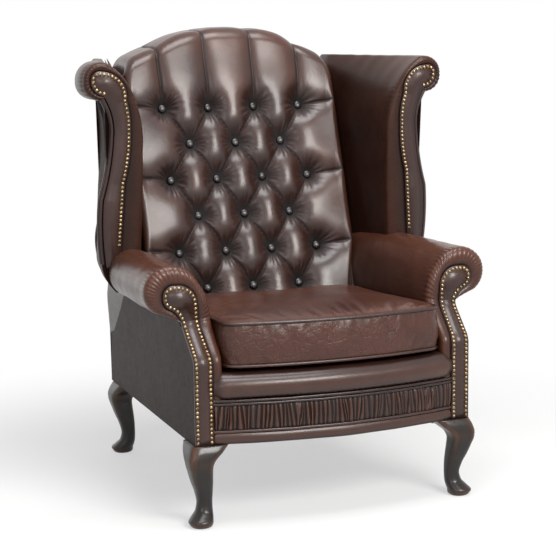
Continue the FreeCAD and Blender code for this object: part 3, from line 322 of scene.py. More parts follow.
def leather(name, tone=1.0, warmth=0.5, gloss=0.36, coat=0.24, shine=0.38, wrinkled=False):
    """Waxed antique leather, with painted shade in the creases and a warm tone for wear and for
    painted highlights.
    """
    look = bpy.context.scene.armchair_finishes
    graph = Graph(name)
    crease = graph.attribute("crease")
    rub = graph.attribute("rub")
    clouds = graph.noise(9.0, 5.0, 0.6)
    fine = graph.noise(95.0, 4.0, 0.65)
    flecks = graph.noise(31.0, 6.0, 0.7, distortion=0.6)
    middle = scaled(look.leather, tone)
    colour = graph.mixed(
        (clouds.between(0.34, 0.72) * 0.55).clamped(), scaled(middle, 0.62), scaled(middle, 1.25))
    # This mark warms the leather where it is worn, and where a highlight is painted on ridges,
    # rolls and the crest.
    warm = (rub * (0.45 + 0.9 * flecks) * warmth + (flecks - 0.5) * 0.22 * warmth).clamped()
    colour = graph.mixed(warm, colour, look.rubbed)
    colour = graph.mixed((fine.between(0.45, 0.8) * 0.25).clamped(), colour, scaled(middle, 0.55))
    # Painted shade: the crease mark darkens the leather towards the deep colour in pleats, pits,
    # gather valleys and seams.
    colour = graph.mixed(crease.clamped(), colour, look.deep)
    grain = graph.cells(620.0)
    pores = graph.cells(1500.0)
    drawn = graph.noise(55.0, 6.0, 0.62, distortion=1.2)
    height = grain * 0.55 + pores * 0.2 + drawn * 0.7
    bumped = graph.bump(height, 0.00045, 0.55)
    if wrinkled:
        bent = graph.node(
            "ShaderNodeVectorMath", {"operation": "ADD"}, graph.place(),
            graph.node("ShaderNodeVectorMath", {"operation": "SCALE"},
                       graph.node("ShaderNodeTexNoise", {}, Vector=graph.place(), Scale=14.0,
                                  Detail=3.0, out=1), Scale=0.06))
        large = graph.cells(38.0, "DISTANCE_TO_EDGE", at=bent)
        small = graph.cells(120.0, "DISTANCE_TO_EDGE", at=bent)
        lines = (large * 5.0).clamped() ** 0.5 + (small * 5.0).clamped() ** 0.5 * 0.4
        bumped = graph.bump(lines * graph.attribute("worn") * clouds.between(0.30, 0.56),
                            0.0013, 0.8, under=bumped)
    rough = (gloss + (drawn - 0.5) * 0.20 + (clouds - 0.5) * 0.12 + crease * 0.45
             - rub * 0.05).clamped()
    return graph.finish(
        Base_Color=colour, Roughness=rough, Normal=bumped,
        Coat_Weight=(coat * (1 - crease * 1.2)).clamped(), Coat_Roughness=0.22,
        Specular_IOR_Level=shine)


def ebonised_wood(name):
    """Black polished legs, with brown wood where the edges are worn."""
    look = bpy.context.scene.armchair_finishes
    graph = Graph(name)
    along = graph.stretched((1.0, 1.0, 0.12))
    grain = graph.noise(120.0, 5.0, 0.6, at=along)
    scuffs = graph.noise(24.0, 6.0, 0.7, distortion=0.8)
    edge = graph.attribute("rub")
    worn = (edge * (0.3 + 1.1 * scuffs) + scuffs.between(0.62, 0.78) * 0.35).clamped()
    colour = graph.mixed(worn, look.ebony, look.worn_wood)
    colour = graph.mixed((grain.between(0.45, 0.7) * 0.4).clamped(), colour,
                         scaled(look.ebony, 0.6))
    bumped = graph.bump(grain * 0.4 + scuffs * 0.5, 0.0004, 0.35)
    rough = (0.30 + (scuffs - 0.5) * 0.28 + worn * 0.16).clamped()
    return graph.finish(Base_Color=colour, Roughness=rough, Normal=bumped, Coat_Weight=0.15,
                        Coat_Roughness=0.18, Specular_IOR_Level=0.30)


def antique_brass(name):
    """Brass with a brown patina and bright worn spots."""
    look = bpy.context.scene.armchair_finishes
    graph = Graph(name)
    patina = graph.noise(260.0, 4.0, 0.6)
    worn = graph.noise(55.0, 3.0, 0.6)
    colour = graph.mixed(patina.between(0.40, 0.62), look.brass, scaled(look.brass, 0.22))
    colour = graph.mixed((worn.between(0.5, 0.7) * 0.5).clamped(), colour,
                         scaled(look.brass, 1.5))
    bumped = graph.bump(patina, 0.0002, 0.4)
    return graph.finish(Base_Color=colour, Metallic=1.0, Normal=bumped,
                        Roughness=(0.27 + patina * 0.24).clamped())


def raw_timber(name):
    """Pale frame timber with its grain along Y."""
    graph = Graph(name)
    along = graph.stretched((1.0, 0.16, 1.0))
    rings = graph.noise(46.0, 6.0, 0.6, at=along, distortion=1.4)
    pores = graph.noise(420.0, 2.0, 0.5, at=along)
    colour = graph.mixed(rings.between(0.35, 0.68), (0.50, 0.335, 0.185), (0.33, 0.20, 0.10))
    colour = graph.mixed((pores.between(0.5, 0.75) * 0.35).clamped(), colour,
                         (0.22, 0.13, 0.07))
    return graph.finish(Base_Color=colour, Roughness=(0.56 + rings * 0.2).clamped(),
                        Normal=graph.bump(rings + pores * 0.4, 0.0004, 0.5))


def woven(name, warp, weft, threads, gloss=0.85):
    """Cloth and webbing: a plain weave of two tones, with some slub."""
    graph = Graph(name)
    place = graph.place()
    across = graph.node("ShaderNodeTexWave", {"bands_direction": "X"}, Vector=place,
                        Scale=threads, Distortion=0.6, Detail=1.0)
    down = graph.node("ShaderNodeTexWave", {"bands_direction": "Y"}, Vector=place,
                      Scale=threads, Distortion=0.6, Detail=1.0)
    slub = graph.noise(60.0, 4.0, 0.6)
    weave = across * 0.5 + down * 0.5
    colour = graph.mixed((weave * 0.75 + slub * 0.25).clamped(), warp, weft)
    return graph.finish(Base_Color=colour, Roughness=gloss,
                        Normal=graph.bump(weave, 0.0006, 0.6))


def spring_steel(name):
    """Oiled grey steel."""
    graph = Graph(name)
    film = graph.noise(70.0, 4.0, 0.6)
    colour = graph.mixed(film.between(0.4, 0.7), (0.30, 0.30, 0.31), (0.16, 0.15, 0.14))
    return graph.finish(Base_Color=colour, Metallic=1.0, Roughness=(0.32 + film * 0.2).clamped(),
                        Normal=graph.bump(film, 0.0002, 0.3))


# ---------------------------------------------------------------- outlines and surfaces
def arc_points(start, middle, end, count):
    """Points on the circle through three points, without the last one."""
    ax, ay = start
    bx, by = middle
    cx, cy = end
    d = 2 * (ax * (by - cy) + bx * (cy - ay) + cx * (ay - by))
    if abs(d) < 1e-9:
        steps = np.arange(count) / count
        return np.array(start) + steps[:, None] * (np.array(end) - np.array(start))
    ux = ((ax * ax + ay * ay) * (by - cy) + (bx * bx + by * by) * (cy - ay)
          + (cx * cx + cy * cy) * (ay - by)) / d
    uy = ((ax * ax + ay * ay) * (cx - bx) + (bx * bx + by * by) * (ax - cx)
          + (cx * cx + cy * cy) * (bx - ax)) / d
    radius = math.hypot(ax - ux, ay - uy)
    turn = [math.atan2(py - uy, px - ux) for px, py in (start, middle, end)]
    full = 2 * math.pi
    forward = (turn[2] - turn[0]) % full
    if (turn[1] - turn[0]) % full > forward:
        forward -= full
    angles = turn[0] + forward * np.arange(count) / count
    return np.stack([ux + radius * np.cos(angles), uy + radius * np.sin(angles)], 1)


def traced(start, steps):
    """A path of lines and arcs. A step is (count, end) or (count, middle, end)."""
    parts = []
    last = start
    for step in steps:
        if len(step) == 2:
            share = np.arange(step[0]) / step[0]
            parts.append(np.array(last) + share[:, None] * (np.array(step[1]) - np.array(last)))
        else:
            parts.append(arc_points(last, step[1], step[2], step[0]))
        last = step[-1]
    parts.append(np.array([last]))
    return np.concatenate(parts)


def spread(array, count):
    """A closed or open line of points, resampled to even steps."""
    lengths = np.concatenate([[0], np.cumsum(np.linalg.norm(np.diff(array, axis=0), axis=1))])
    wanted = np.linspace(0, lengths[-1], count)
    return np.stack([np.interp(wanted, lengths, array[:, k]) for k in range(array.shape[1])], 1)


def ripple(u, v, seed):
    """Smooth uneven waves over two coordinates, about -1 to 1, the same on every run."""
    rng = np.random.default_rng(seed)
    waves, total = 7, 0.0
    for _ in range(waves):
        turn = rng.uniform(0, 2 * math.pi)
        size = rng.uniform(0.6, 1.9)
        shift = rng.uniform(0, 2 * math.pi)
        total = total + np.sin(size * (u * math.cos(turn) + v * math.sin(turn)) + shift)
    return total / math.sqrt(waves)


def rise(value, low, high):
    """0 below low, 1 above high, and a smooth step from one to the other."""
    share = np.clip((value - low) / (high - low), 0, 1)
    return share * share * (3 - 2 * share)


def smooth_levels(levels, wanted):
    """Monotone cubic curves through the columns of a table."""
    table = np.array(levels, float)
    t = table[:, 0]
    columns = []
    for k in range(1, table.shape[1]):
        v = table[:, k]
        slope = np.diff(v) / np.diff(t)
        tangent = np.concatenate([[slope[0]], np.zeros(len(v) - 2), [slope[-1]]])
        for i in range(1, len(v) - 1):
            if slope[i - 1] * slope[i] > 0:
                tangent[i] = 2 / (1 / slope[i - 1] + 1 / slope[i])
        i = np.clip(np.searchsorted(t, wanted) - 1, 0, len(t) - 2)
        width = t[i + 1] - t[i]
        s = (wanted - t[i]) / width
        columns.append((2 * s ** 3 - 3 * s ** 2 + 1) * v[i]
                       + (s ** 3 - 2 * s ** 2 + s) * width * tangent[i]
                       + (-2 * s ** 3 + 3 * s ** 2) * v[i + 1]
                       + (s ** 3 - s ** 2) * width * tangent[i + 1])
    return columns


def ring_quads(count, around):
    """Faces between closed rings of equal count."""
    i, j = np.meshgrid(np.arange(count - 1), np.arange(around), indexing="ij")
    here, after = i * around, (j + 1) % around
    return np.stack([here + j, here + around + j, here + around + after, here + after],
                    -1).reshape(-1, 4)


def mesh_piece(name, points, faces, material, **marks):
    """A smooth mesh from frame points; marks are values for the materials to read."""
    mesh = bpy.data.meshes.new(name)
    mesh.from_pydata([tuple(p) for p in points], [], [tuple(map(int, f)) for f in faces])
    mesh.polygons.foreach_set("use_smooth", [True] * len(mesh.polygons))
    for mark, values in marks.items():
        layer = mesh.attributes.new(mark, "FLOAT", "POINT")
        layer.data.foreach_set("value", np.asarray(values, np.float32).ravel())
    mesh.materials.append(material)
    mesh.update()
    made = bpy.data.objects.new(name, mesh)
    bpy.context.scene.collection.objects.link(made)
    return made


def outward(made, inside=None):
    """Turns the faces outwards: away from a point, or by the volume of a closed form."""
    mesh = made.data
    total = 0.0
    for face in mesh.polygons:
        arm = face.center if inside is None else face.center - Vector(inside)
        total += face.normal.dot(arm) * face.area
    if total < 0:
        mesh.flip_normals()
    return made


def closed_tube(name, rings, material, pushed=0.0, **marks):
    """Rings of equal count, joined in order, with a fan at each end.

    The middle of the first fan is pushed back along Y."""
    count, around = rings.shape[:2]
    points = rings.reshape(-1, 3)
    faces = [tuple(quad) for quad in ring_quads(count, around)]
    first, last = len(points), len(points) + 1
    points = np.concatenate([points, [rings[0].mean(0) + np.array([0, pushed, 0])],
                             [rings[-1].mean(0)]])
    for j in range(around):
        after = (j + 1) % around
        faces.append((first, j, after))
        faces.append((last, (count - 1) * around + after, (count - 1) * around + j))
    for mark, values in list(marks.items()):
        flat = np.asarray(values, float).ravel()
        marks[mark] = np.concatenate([flat, [flat[0], flat[-1]]])
    made = mesh_piece(name, to_frame(points), faces, material, **marks)
    return outward(made)


def settle(made, slot, *nodes, body="chair", fill=None):
    """Hides the CAD nodes it stands for and puts the piece in its body. Slot and fill are not
    used.
    """
    if nodes:
        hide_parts(*nodes)
    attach(made, body)
    return made


# ---------------------------------------------------------------- Geometry Nodes
class Nodes:
    """A geometry tree with named inputs."""

    def __init__(self, name, **inputs):
        self.tree = bpy.data.node_groups.new(name, "GeometryNodeTree")
        face = self.tree.interface
        face.new_socket("Geometry", in_out="INPUT", socket_type="NodeSocketGeometry")
        for label, value in inputs.items():
            kind = "NodeSocketMaterial" if isinstance(value, bpy.types.Material) else (
                "NodeSocketInt" if isinstance(value, int) else "NodeSocketFloat")
            face.new_socket(label, in_out="INPUT", socket_type=kind)
        face.new_socket("Geometry", in_out="OUTPUT", socket_type="NodeSocketGeometry")
        self.values = inputs
        self.given = self.tree.nodes.new("NodeGroupInput")
        self.result = self.tree.nodes.new("NodeGroupOutput")

    def add(self, kind, settings=None, **links):
        made = self.tree.nodes.new(kind)
        for key, setting in (settings or {}).items():
            setattr(made, key, setting)
        for key, value in links.items():
            socket = made.inputs[key.replace("_", " ")]
            if isinstance(value, bpy.types.NodeSocket):
                self.tree.links.new(value, socket)
            else:
                socket.default_value = value
        return made

    def input(self, label):
        return self.given.outputs[label]

    def close(self, geometry):
        """Real geometry with its material, because instances aren't exported."""
        solid = self.add("GeometryNodeRealizeInstances", Geometry=geometry)
        coated = self.add("GeometryNodeSetMaterial", Geometry=solid.outputs[0],
                          Material=self.input("Material"))
        self.tree.links.new(coated.outputs[0], self.result.inputs[0])

    def grown(self, name, seed_mesh):
        """Runs the tree on a mesh and returns the outcome as a plain piece."""
        carrier = bpy.data.objects.new(name + "_path", seed_mesh)
        bpy.context.scene.collection.objects.link(carrier)
        modifier = carrier.modifiers.new("grow", "NODES")
        modifier.node_group = self.tree
        for item in self.tree.interface.items_tree:
            if item.in_out == "INPUT" and item.name in self.values:
                modifier[item.identifier] = self.values[item.name]
        view = bpy.context.evaluated_depsgraph_get()
        mesh = bpy.data.meshes.new_from_object(carrier.evaluated_get(view))
        mesh.name = name
        bpy.data.objects.remove(carrier)
        mesh.polygons.foreach_set("use_smooth", [True] * len(mesh.polygons))
        made = bpy.data.objects.new(name, mesh)
        bpy.context.scene.collection.objects.link(made)
        return made


def path_mesh(name, *lines, closed=False, faces_to=None):
    """Lines of edges in the frame, with the way their ornaments face."""
    edges, first = [], 0
    for line in lines:
        last = first + len(line) - 1
        edges += [(k, k + 1) for k in range(first, last)]
        if closed:
            edges.append((last, first))
        first = last + 1
    mesh = bpy.data.meshes.new(name)
    mesh.from_pydata([tuple(p) for p in to_frame(np.concatenate(lines))], edges, [])
    if faces_to is not None:
        layer = mesh.attributes.new("facing", "FLOAT_VECTOR", "POINT")
        layer.data.foreach_set("vector", np.asarray(faces_to, np.float32).ravel())
    return mesh


def stud_tree(name, segments, rings, **inputs):
    """Domes that face away from the leather, on each point or at a pitch along the line."""
    nodes = Nodes(name, **inputs)
    places = nodes.input("Geometry")
    if "Pitch" in inputs:
        line = nodes.add("GeometryNodeMeshToCurve", Mesh=places)
        places = nodes.add("GeometryNodeResampleCurve", {"mode": "LENGTH"},
                           Curve=line.outputs[0], Length=nodes.input("Pitch")).outputs[0]
    dome = nodes.add("GeometryNodeMeshUVSphere", Segments=segments, Rings=rings,
                     Radius=nodes.input("Radius"))
    flat = nodes.add("ShaderNodeCombineXYZ", X=1.0, Y=1.0, Z=nodes.input("Rise"))
    pressed = nodes.add("GeometryNodeTransform", Geometry=dome.outputs["Mesh"],
                        Scale=flat.outputs[0])
    facing = nodes.add("GeometryNodeInputNamedAttribute", {"data_type": "FLOAT_VECTOR"},
                       Name="facing")
    upright = nodes.add("FunctionNodeAlignEulerToVector", {"axis": "Z"},
                        Vector=facing.outputs["Attribute"])
    heads = nodes.add("GeometryNodeInstanceOnPoints", Points=places,
                      Instance=pressed.outputs[0], Rotation=upright.outputs[0])
    if "Seed" in inputs:
        size = nodes.add("FunctionNodeRandomValue", {"data_type": "FLOAT"},
                         Seed=nodes.input("Seed"))
        size.inputs[2].default_value, size.inputs[3].default_value = 0.93, 1.06
        heads = nodes.add("GeometryNodeScaleInstances", Instances=heads.outputs[0],
                          Scale=size.outputs[1])
    nodes.close(heads.outputs[0])
    return nodes


def piping_tree(radius, material):
    """A round cord along the lines of a mesh."""
    nodes = Nodes("piping", Radius=radius, Sides=10, Material=material)
    line = nodes.add("GeometryNodeMeshToCurve", Mesh=nodes.input("Geometry"))
    ring = nodes.add("GeometryNodeCurvePrimitiveCircle", Resolution=nodes.input("Sides"),
                     Radius=nodes.input("Radius"))
    tube = nodes.add("GeometryNodeCurveToMesh", Curve=line.outputs[0],
                     Profile_Curve=ring.outputs[0], Fill_Caps=True)
    nodes.close(tube.outputs[0])
    return nodes


# ---------------------------------------------------------------- lines of the chair
def outer_back_y(z):
    """Y of the outside back's face."""
    return BODY_DEPTH + OUTER_LEAN * (z - LEG_HEIGHT)


def button_y(z):
    """Y of the raked plane through the button seats."""
    return BUTTON_SETBACK + RAKE * (z - BUTTON_LOW)


def wing_front_y(z):
    """Y of the wings' front faces."""
    return WING_SETBACK + WING_SLOPE * (z - (ARM_TOP + WING_TOP) / 2)


def facing_y(z):
    """Y of the arm facing's plane, which bends back softly between elbow and neck."""
    shares = [np.clip((z + shift - ELBOW) / (NECK - ELBOW), 0, 1) for shift in (-9, 0, 9)]
    return NECK_SETBACK * sum(shares) / 3


def body_half(y):
    """From the centre line to the body's outside."""
    return FRONT_HALF + (BACK_HALF - FRONT_HALF) * y / BODY_DEPTH


def seat_half(y):
    """From the centre line to the inside of an arm."""
    return SEAT_HALF_FRONT + (SEAT_HALF_BACK - SEAT_HALF_FRONT) * y / BODY_DEPTH


def roll_reach(y):
    """From the centre line to the outermost point of an arm's roll."""
    return body_half(y) + (ARM_REACH - FRONT_HALF) * np.interp(y, ROLL_DEPTHS, ROLL_SHARES)


# Shares between two levels or widths: 0 at the first, 1 at the second
def arm_z(part):
    return NECK + part * (ARM_TOP - NECK)


def wing_z(part):
    return ARM_TOP + part * (WING_TOP - ARM_TOP)


def wing_x(part):
    return WING_INNER + part * (WING_REACH - WING_INNER)


def scroll_x(part):
    return SEAT_HALF_FRONT - 9 + part * (ARM_REACH - SEAT_HALF_FRONT + 9)


def arm_contour(y):
    """Inside face, roll and underside of an arm at a depth, as (x, z) points."""
    inner = seat_half(y)
    width = roll_reach(y) - inner

    def at(across, up):
        return (inner + across * width, arm_z(up))
    return traced((inner, ARM_FOOT), [
        (UPRIGHT_POINTS, (inner, ELBOW)), (10, (inner, NECK - 4)),
        (40, at(0.055, 0.42), at(0.24, 0.80)),
        (44, at(0.40, 0.945), at(0.61, 1.0)), (56, at(0.88, 0.88), at(1.0, 0.56)),
        (30, at(0.95, 0.34), at(0.84, 0.20)), (16, (body_half(y) + 1, arm_z(0.035)))])


def arm_facing_edge():
    """The arm facing's edge, point for point beside arm_contour."""
    def at(across, up):
        return (scroll_x(across), arm_z(up))
    return traced((FACING_INNER, ARM_FOOT), [
        (UPRIGHT_POINTS, (FACING_INNER, ELBOW)), (10, (FACING_INNER + 5, NECK)),
        (40, at(0.25, 0.33)), (44, at(0.34, 0.585), at(0.55, 0.672)),
        (56, at(0.70, 0.61), at(0.7375, 0.464)),
        (30, at(0.71, 0.34), at(0.63, 0.256)),
        (16, at(0.53, 0.15), (FRONT_HALF + 2, NECK - 2))])


def wing_contour():
    """Inside face, roll and underside of a wing at its front, as (x, z) points."""
    def at(across, up):
        return (wing_x(across), wing_z(up))
    return traced((wing_x(0.065), WING_FOOT), [
        (50, at(0.0, 0.35), at(0.0, 0.52)), (36, at(0.02, 0.68), at(0.12, 0.80)),
        (50, at(0.32, 0.915), at(0.60, 0.994)), (40, at(0.90, 0.975), at(1.0, 0.90)),
        (34, at(0.90, 0.82), at(0.60, 0.81))])


def wing_facing_edge():
    """The wing facing's edge, point for point beside wing_contour."""
    def at(across, up):
        return (wing_x(across), wing_z(up))
    return traced((wing_x(0.43), WING_FOOT), [
        (30, at(0.335, 0.355)), (20, at(0.24, 0.52), at(0.225, 0.62)),
        (36, at(0.23, 0.70), at(0.285, 0.795)), (50, at(0.46, 0.925), at(0.69, 0.949)),
        (40, at(0.86, 0.93), at(0.885, 0.90)), (34, at(0.83, 0.85), at(0.675, 0.823))])


def wing_narrowed(x, share):
    """A wing's X narrows from its front (share 0) to the back post (share 1)."""
    ratio = (WING_BACK_OUTER - WING_BACK_INNER) / (0.505 * (WING_REACH - WING_INNER))
    back = WING_BACK_INNER + (x - WING_INNER) * ratio
    return x + (back - x) * share ** 1.5


def bow_point(inward, x, z):
    """A point on the front bow, moved inward."""
    return (x, BOW_CENTRE - math.sqrt((BOW_RADIUS - inward) ** 2 - x * x), z)


def at_depth(table, depths, wanted):
    """Points of a table of outlines, one depth for each point."""
    place = np.clip(np.interp(wanted, depths, np.arange(len(depths))), 0, len(depths) - 1.001)
    low = place.astype(int)
    share = (place - low)[:, None]
    each = np.arange(table.shape[1])
    return table[low, each] * (1 - share) + table[low + 1, each] * share


def ring_normals(rings):
    """Outward directions over closed rings."""
    around = np.roll(rings, -1, 1) - np.roll(rings, 1, 1)
    along = np.gradient(rings, axis=0)
    normal = np.cross(along, around)
    normal /= np.maximum(np.linalg.norm(normal, axis=2, keepdims=True), 1e-9)
    arm = rings - rings.mean(1, keepdims=True)
    return normal if (normal * arm).sum() > 0 else -normal


def gather_wave(length, pitch, seed):
    """Uneven small folds along an edge, -1 in the valleys and 1 on the ridges."""
    turns = length / pitch + 0.55 * ripple(length / (2.6 * pitch), length * 0, seed)
    wave = np.sin(2 * math.pi * turns)
    return np.sign(wave) * np.abs(wave) ** 0.8 * (0.75 + 0.3 * ripple(length / 31, 0, seed + 1))


def run_lengths(points):
    """Length along a line up to each of its points."""
    steps = np.linalg.norm(np.diff(points, axis=0), axis=1)
    return np.concatenate([[0], np.cumsum(steps)])


# The stuffed border around a facing, and the small folds where its leather is gathered
BORDER_RINGS = 15
GATHER_PITCH, GATHER_HEIGHT = 10.5, 0.75


def border_rings(edge, contour, front_of, radius):
    """The stuffed border from a facing's edge out to the pad's contour."""
    rings, shares = [], []
    tuck = edge + (edge - contour) * (3.0 / np.maximum(
        np.linalg.norm(edge - contour, axis=1, keepdims=True), 3.0))
    rings.append(np.stack([tuck[:, 0], front_of(tuck[:, 1]) + 10, tuck[:, 1]], 1))
    shares.append(0.0)
    for u in np.linspace(0, 1, BORDER_RINGS):
        flat = edge + (contour - edge) * math.sin(u * math.pi / 2) ** 0.9
        y = front_of(flat[:, 1]) + radius * (1 - math.cos(u * math.pi / 2))
        y = y - 4.0 * math.sin(math.pi * u) + 2.5 * (1 - u) ** 6
        rings.append(np.stack([flat[:, 0], y, flat[:, 1]], 1))
        shares.append(u)
    return rings, shares


def arm_pad_form():
    """Rings of an arm: border, roll and inside face, back to the outside back."""
    depths = np.linspace(-5, 775, 66)
    table = np.array([arm_contour(y) for y in depths])
    edge = arm_facing_edge()
    contour = at_depth(table, depths, facing_y(table[8][:, 1]) + 16)
    rings, shares = border_rings(edge, contour, facing_y, 16.0)
    start = rings[-1][:, 1]
    end = outer_back_y(rings[-1][:, 2]) - OUTSIDE_GAP
    steps = np.concatenate([np.linspace(0, 0.12, 18)[1:], np.linspace(0.12, 1, 62)[1:]])
    for share in steps:
        y = start + (end - start) * share
        flat = at_depth(table, depths, y)
        rings.append(np.stack([flat[:, 0], y, flat[:, 1]], 1))
        shares.append(1 + share)
    return np.array(rings), np.array(shares), run_lengths(contour)


def closing_line(rings, corners, count):
    """Adds the hidden side of each ring, through the given (x, z) corners."""
    shut = []
    for ring in rings:
        path = np.concatenate([ring[-1:, [0, 2]], np.array(corners, float).reshape(-1, 2),
                               ring[:1, [0, 2]]])
        path = spread(path, count + 2)[1:-1]
        y = np.interp(path[:, 1], *np.array(sorted(
            [(ring[0, 2], ring[0, 1]), (ring[-1, 2] + 1e-3, ring[-1, 1])])).T)
        shut.append(np.concatenate([ring, np.stack([path[:, 0], y, path[:, 1]], 1)]))
    return np.array(shut)


def pad_shell(rings, shares, lengths, seed):
    """Gathers, soft wrinkles, painted shade in the gather valleys and at the tuck, and worn
    places with painted highlights over an arm or wing, both sides alike.
    """
    count = len(lengths)
    normals = ring_normals(rings)
    rim = BORDER_RINGS
    back = np.linalg.norm(rings[:, :count] - rings[rim:rim + 1, :count], axis=2)
    back[:rim + 1] = 0
    waves = gather_wave(lengths, GATHER_PITCH, seed)[None, :]
    drift = 0.5 * ripple(back / 30, lengths[None, :] / 14, seed + 5)
    front = np.where(shares[:, None] < 1, np.clip(shares[:, None] * 2.2, 0, 1),
                     np.exp(-(back / (17 + 6 * ripple(lengths[None, :] / 22, 0, seed + 3)
                                      .clip(-1, 1))) ** 2))
    # The gathers come and go along the edge
    patches = rise(ripple(lengths[None, :] / 40, 0, seed + 17), -0.6, 1.1)
    waves = waves * (0.25 + 0.85 * patches)
    folds = front * (waves + drift * 0.8)
    soft = ripple(back / 46, lengths[None, :] / 34, seed + 9) * 0.9 * rise(back, 5, 60)
    soft = soft + ripple(back / 15, lengths[None, :] / 19, seed + 13) * 0.28
    moved = rings.copy()
    moved[:, :count] += normals[:, :count] * (GATHER_HEIGHT * folds + soft)[..., None]
    crease = np.zeros(rings.shape[:2])
    # Painted shade in the gather valleys
    crease[:, :count] = 0.40 * front * np.clip(-waves, 0, 1)
    # Painted shade in the tuck beside the facing
    crease[:3] += np.array([1.0, 0.95, 0.35])[:, None]
    rub = np.zeros(rings.shape[:2])
    # Painted highlight along the stuffed border, brighter on the gathers' ridges
    border = np.exp(-((shares[:, None] - 0.75) / 0.5) ** 2)
    rub[:, :count] = border * (0.72 + 0.28 * waves) + 0.15
    high = rings[:, :count, 2]
    # Hands wear the top of the roll lighter
    rub[:, :count] += 0.40 * rise(high, high.max() - 70, high.max() - 5)
    return moved, np.clip(crease, 0, 1), np.clip(rub, 0, 1)


def make_pair(name, rings, crease, rub, material, slot, node, fill=0.85, pushed=75.0):
    """The right-hand piece and its mirror image, as closed forms."""
    for side, flip in SIDES:
        made = closed_tube("%s_%s" % (name, side), rings * np.array([flip, 1.0, 1.0]),
                           material, pushed=pushed, crease=crease, rub=rub)
        settle(made, slot, "%s_%s" % (node, side), fill=fill)


class ARMCHAIR_OT_arm_pads(bpy.types.Operator):
    """Rolled arms in stretched leather, gathered around the facings"""
    bl_idname = "armchair.arm_pads"
    bl_label = "Arm pads"

    def execute(self, context):
        rings, shares, lengths = arm_pad_form()
        rings = closing_line(rings, [(300, 400), (295, 300)], 10)
        material = leather("arm_leather", tone=1.0, warmth=0.85, coat=0.16, shine=0.28)
        moved, crease, rub = pad_shell(rings, shares, lengths, 21)
        make_pair("arm_roll", moved, crease, rub, material, "inside_leather", "arm_pad")
        return {"FINISHED"}


def wing_pad_form():
    """Rings of a wing: border, roll and inside face, back to the outside back."""
    contour, edge = wing_contour(), wing_facing_edge()
    rings, shares = border_rings(edge, contour, wing_front_y, 14.0)
    start = rings[-1][:, 1]
    rear = button_y(contour[:, 1]) + PAD_REAR - REAR_GAP
    for share in np.concatenate([np.linspace(0, 0.12, 12)[1:], np.linspace(0.12, 1, 44)[1:]]):
        outer = np.clip((contour[:, 0] - wing_x(0.25)) / (0.75 * (WING_REACH - WING_INNER)),
                        0, 1)
        bulge = 10.0 * outer * math.sin(math.pi * min(share / 0.5, 1.0)) ** 0.8
        x = wing_narrowed(contour[:, 0], share) + bulge
        y = start + (rear - start) * share
        rings.append(np.stack([x, y, contour[:, 1]], 1))
        shares.append(1 + share)
    last = rings[-1]
    end = outer_back_y(last[:, 2]) - OUTSIDE_GAP
    for share in (0.25, 0.5, 0.75, 1.0):
        rings.append(np.stack([last[:, 0], last[:, 1] + (end - last[:, 1]) * share,
                               last[:, 2]], 1))
        shares.append(2 + share)
    return np.array(rings), np.array(shares), run_lengths(contour)


class ARMCHAIR_OT_wing_pads(bpy.types.Operator):
    """Wings with scrolled tops, gathered around their facings"""
    bl_idname = "armchair.wing_pads"
    bl_label = "Wing pads"

    def execute(self, context):
        rings, shares, lengths = wing_pad_form()
        shut = []
        for ring, share in zip(rings, shares):
            narrow = min(max(share - 1, 0), 1)
            corners = [(wing_narrowed(wing_x(a), narrow), wing_z(b)) for a, b in WING_OUTER_SIDE]
            corners.append((wing_narrowed(wing_x(0.58), narrow), WING_FOOT + 0.5))
            shut.append(closing_line(ring[None], corners, 14)[0])
        # Painted shade: a darker copy of the leather for the wings' inner faces, which face away
        # from the lamps
        material = leather("wing_leather", tone=0.5, warmth=0.45, coat=0.1, shine=0.18)
        moved, crease, rub = pad_shell(np.array(shut), shares, lengths, 47)
        make_pair("wing_roll", moved, crease, rub, material, "inside_leather", "wing_pad")
        return {"FINISHED"}


def outside_wing_form():
    """Rings of an outside wing: from the arm's underside over the waist to the scroll."""
    rings = []
    for step in np.linspace(0, 1.35, 46):
        share = min(step, 1.0)
        heel = max(step - 1, 0) / 0.35

        def depth(z):
            front = wing_front_y(z) + 5.0
            rear = button_y(z) + PAD_REAR - REAR_GAP
            y = front + (rear - front) * share
            return y + (outer_back_y(z) - OUTSIDE_GAP - y) * heel
        y_arm = float(depth(500.0))
        inner, reach = float(seat_half(y_arm)), float(roll_reach(y_arm))

        def arm_at(across, up):
            return (inner + across * (reach - inner), arm_z(up))

        def wing_at(across, up):
            return (wing_narrowed(wing_x(across), share), wing_z(up))
        widest = (max(arm_at(1.0, 0)[0], wing_at(0.67, 0)[0]), arm_z(0.56))
        waist = wing_at(0.69, 0.27)
        over = (waist[0] + 0.52 * (widest[0] - waist[0]) + 8 * (1 - share), wing_z(0.09))
        line = traced(arm_at(0.84, 0.20), [
            (10, arm_at(0.95, 0.34), widest), (22, over, waist),
            (24, wing_at(0.58, 0.41), wing_at(0.505, 0.60)),
            (18, wing_at(0.545, 0.72), wing_at(0.62, 0.805))])
        smooth = line.copy()
        for _ in range(3):
            smooth[1:-1] = (smooth[:-2] + 2 * smooth[1:-1] + smooth[2:]) / 4
        ring = np.column_stack([smooth[:, 0] + 4.5, depth(smooth[:, 1]), smooth[:, 1]])
        inside = ring[::-1] - np.array([6.0, 0, 0])
        rings.append(np.concatenate([ring, inside]))
    return np.array(rings)


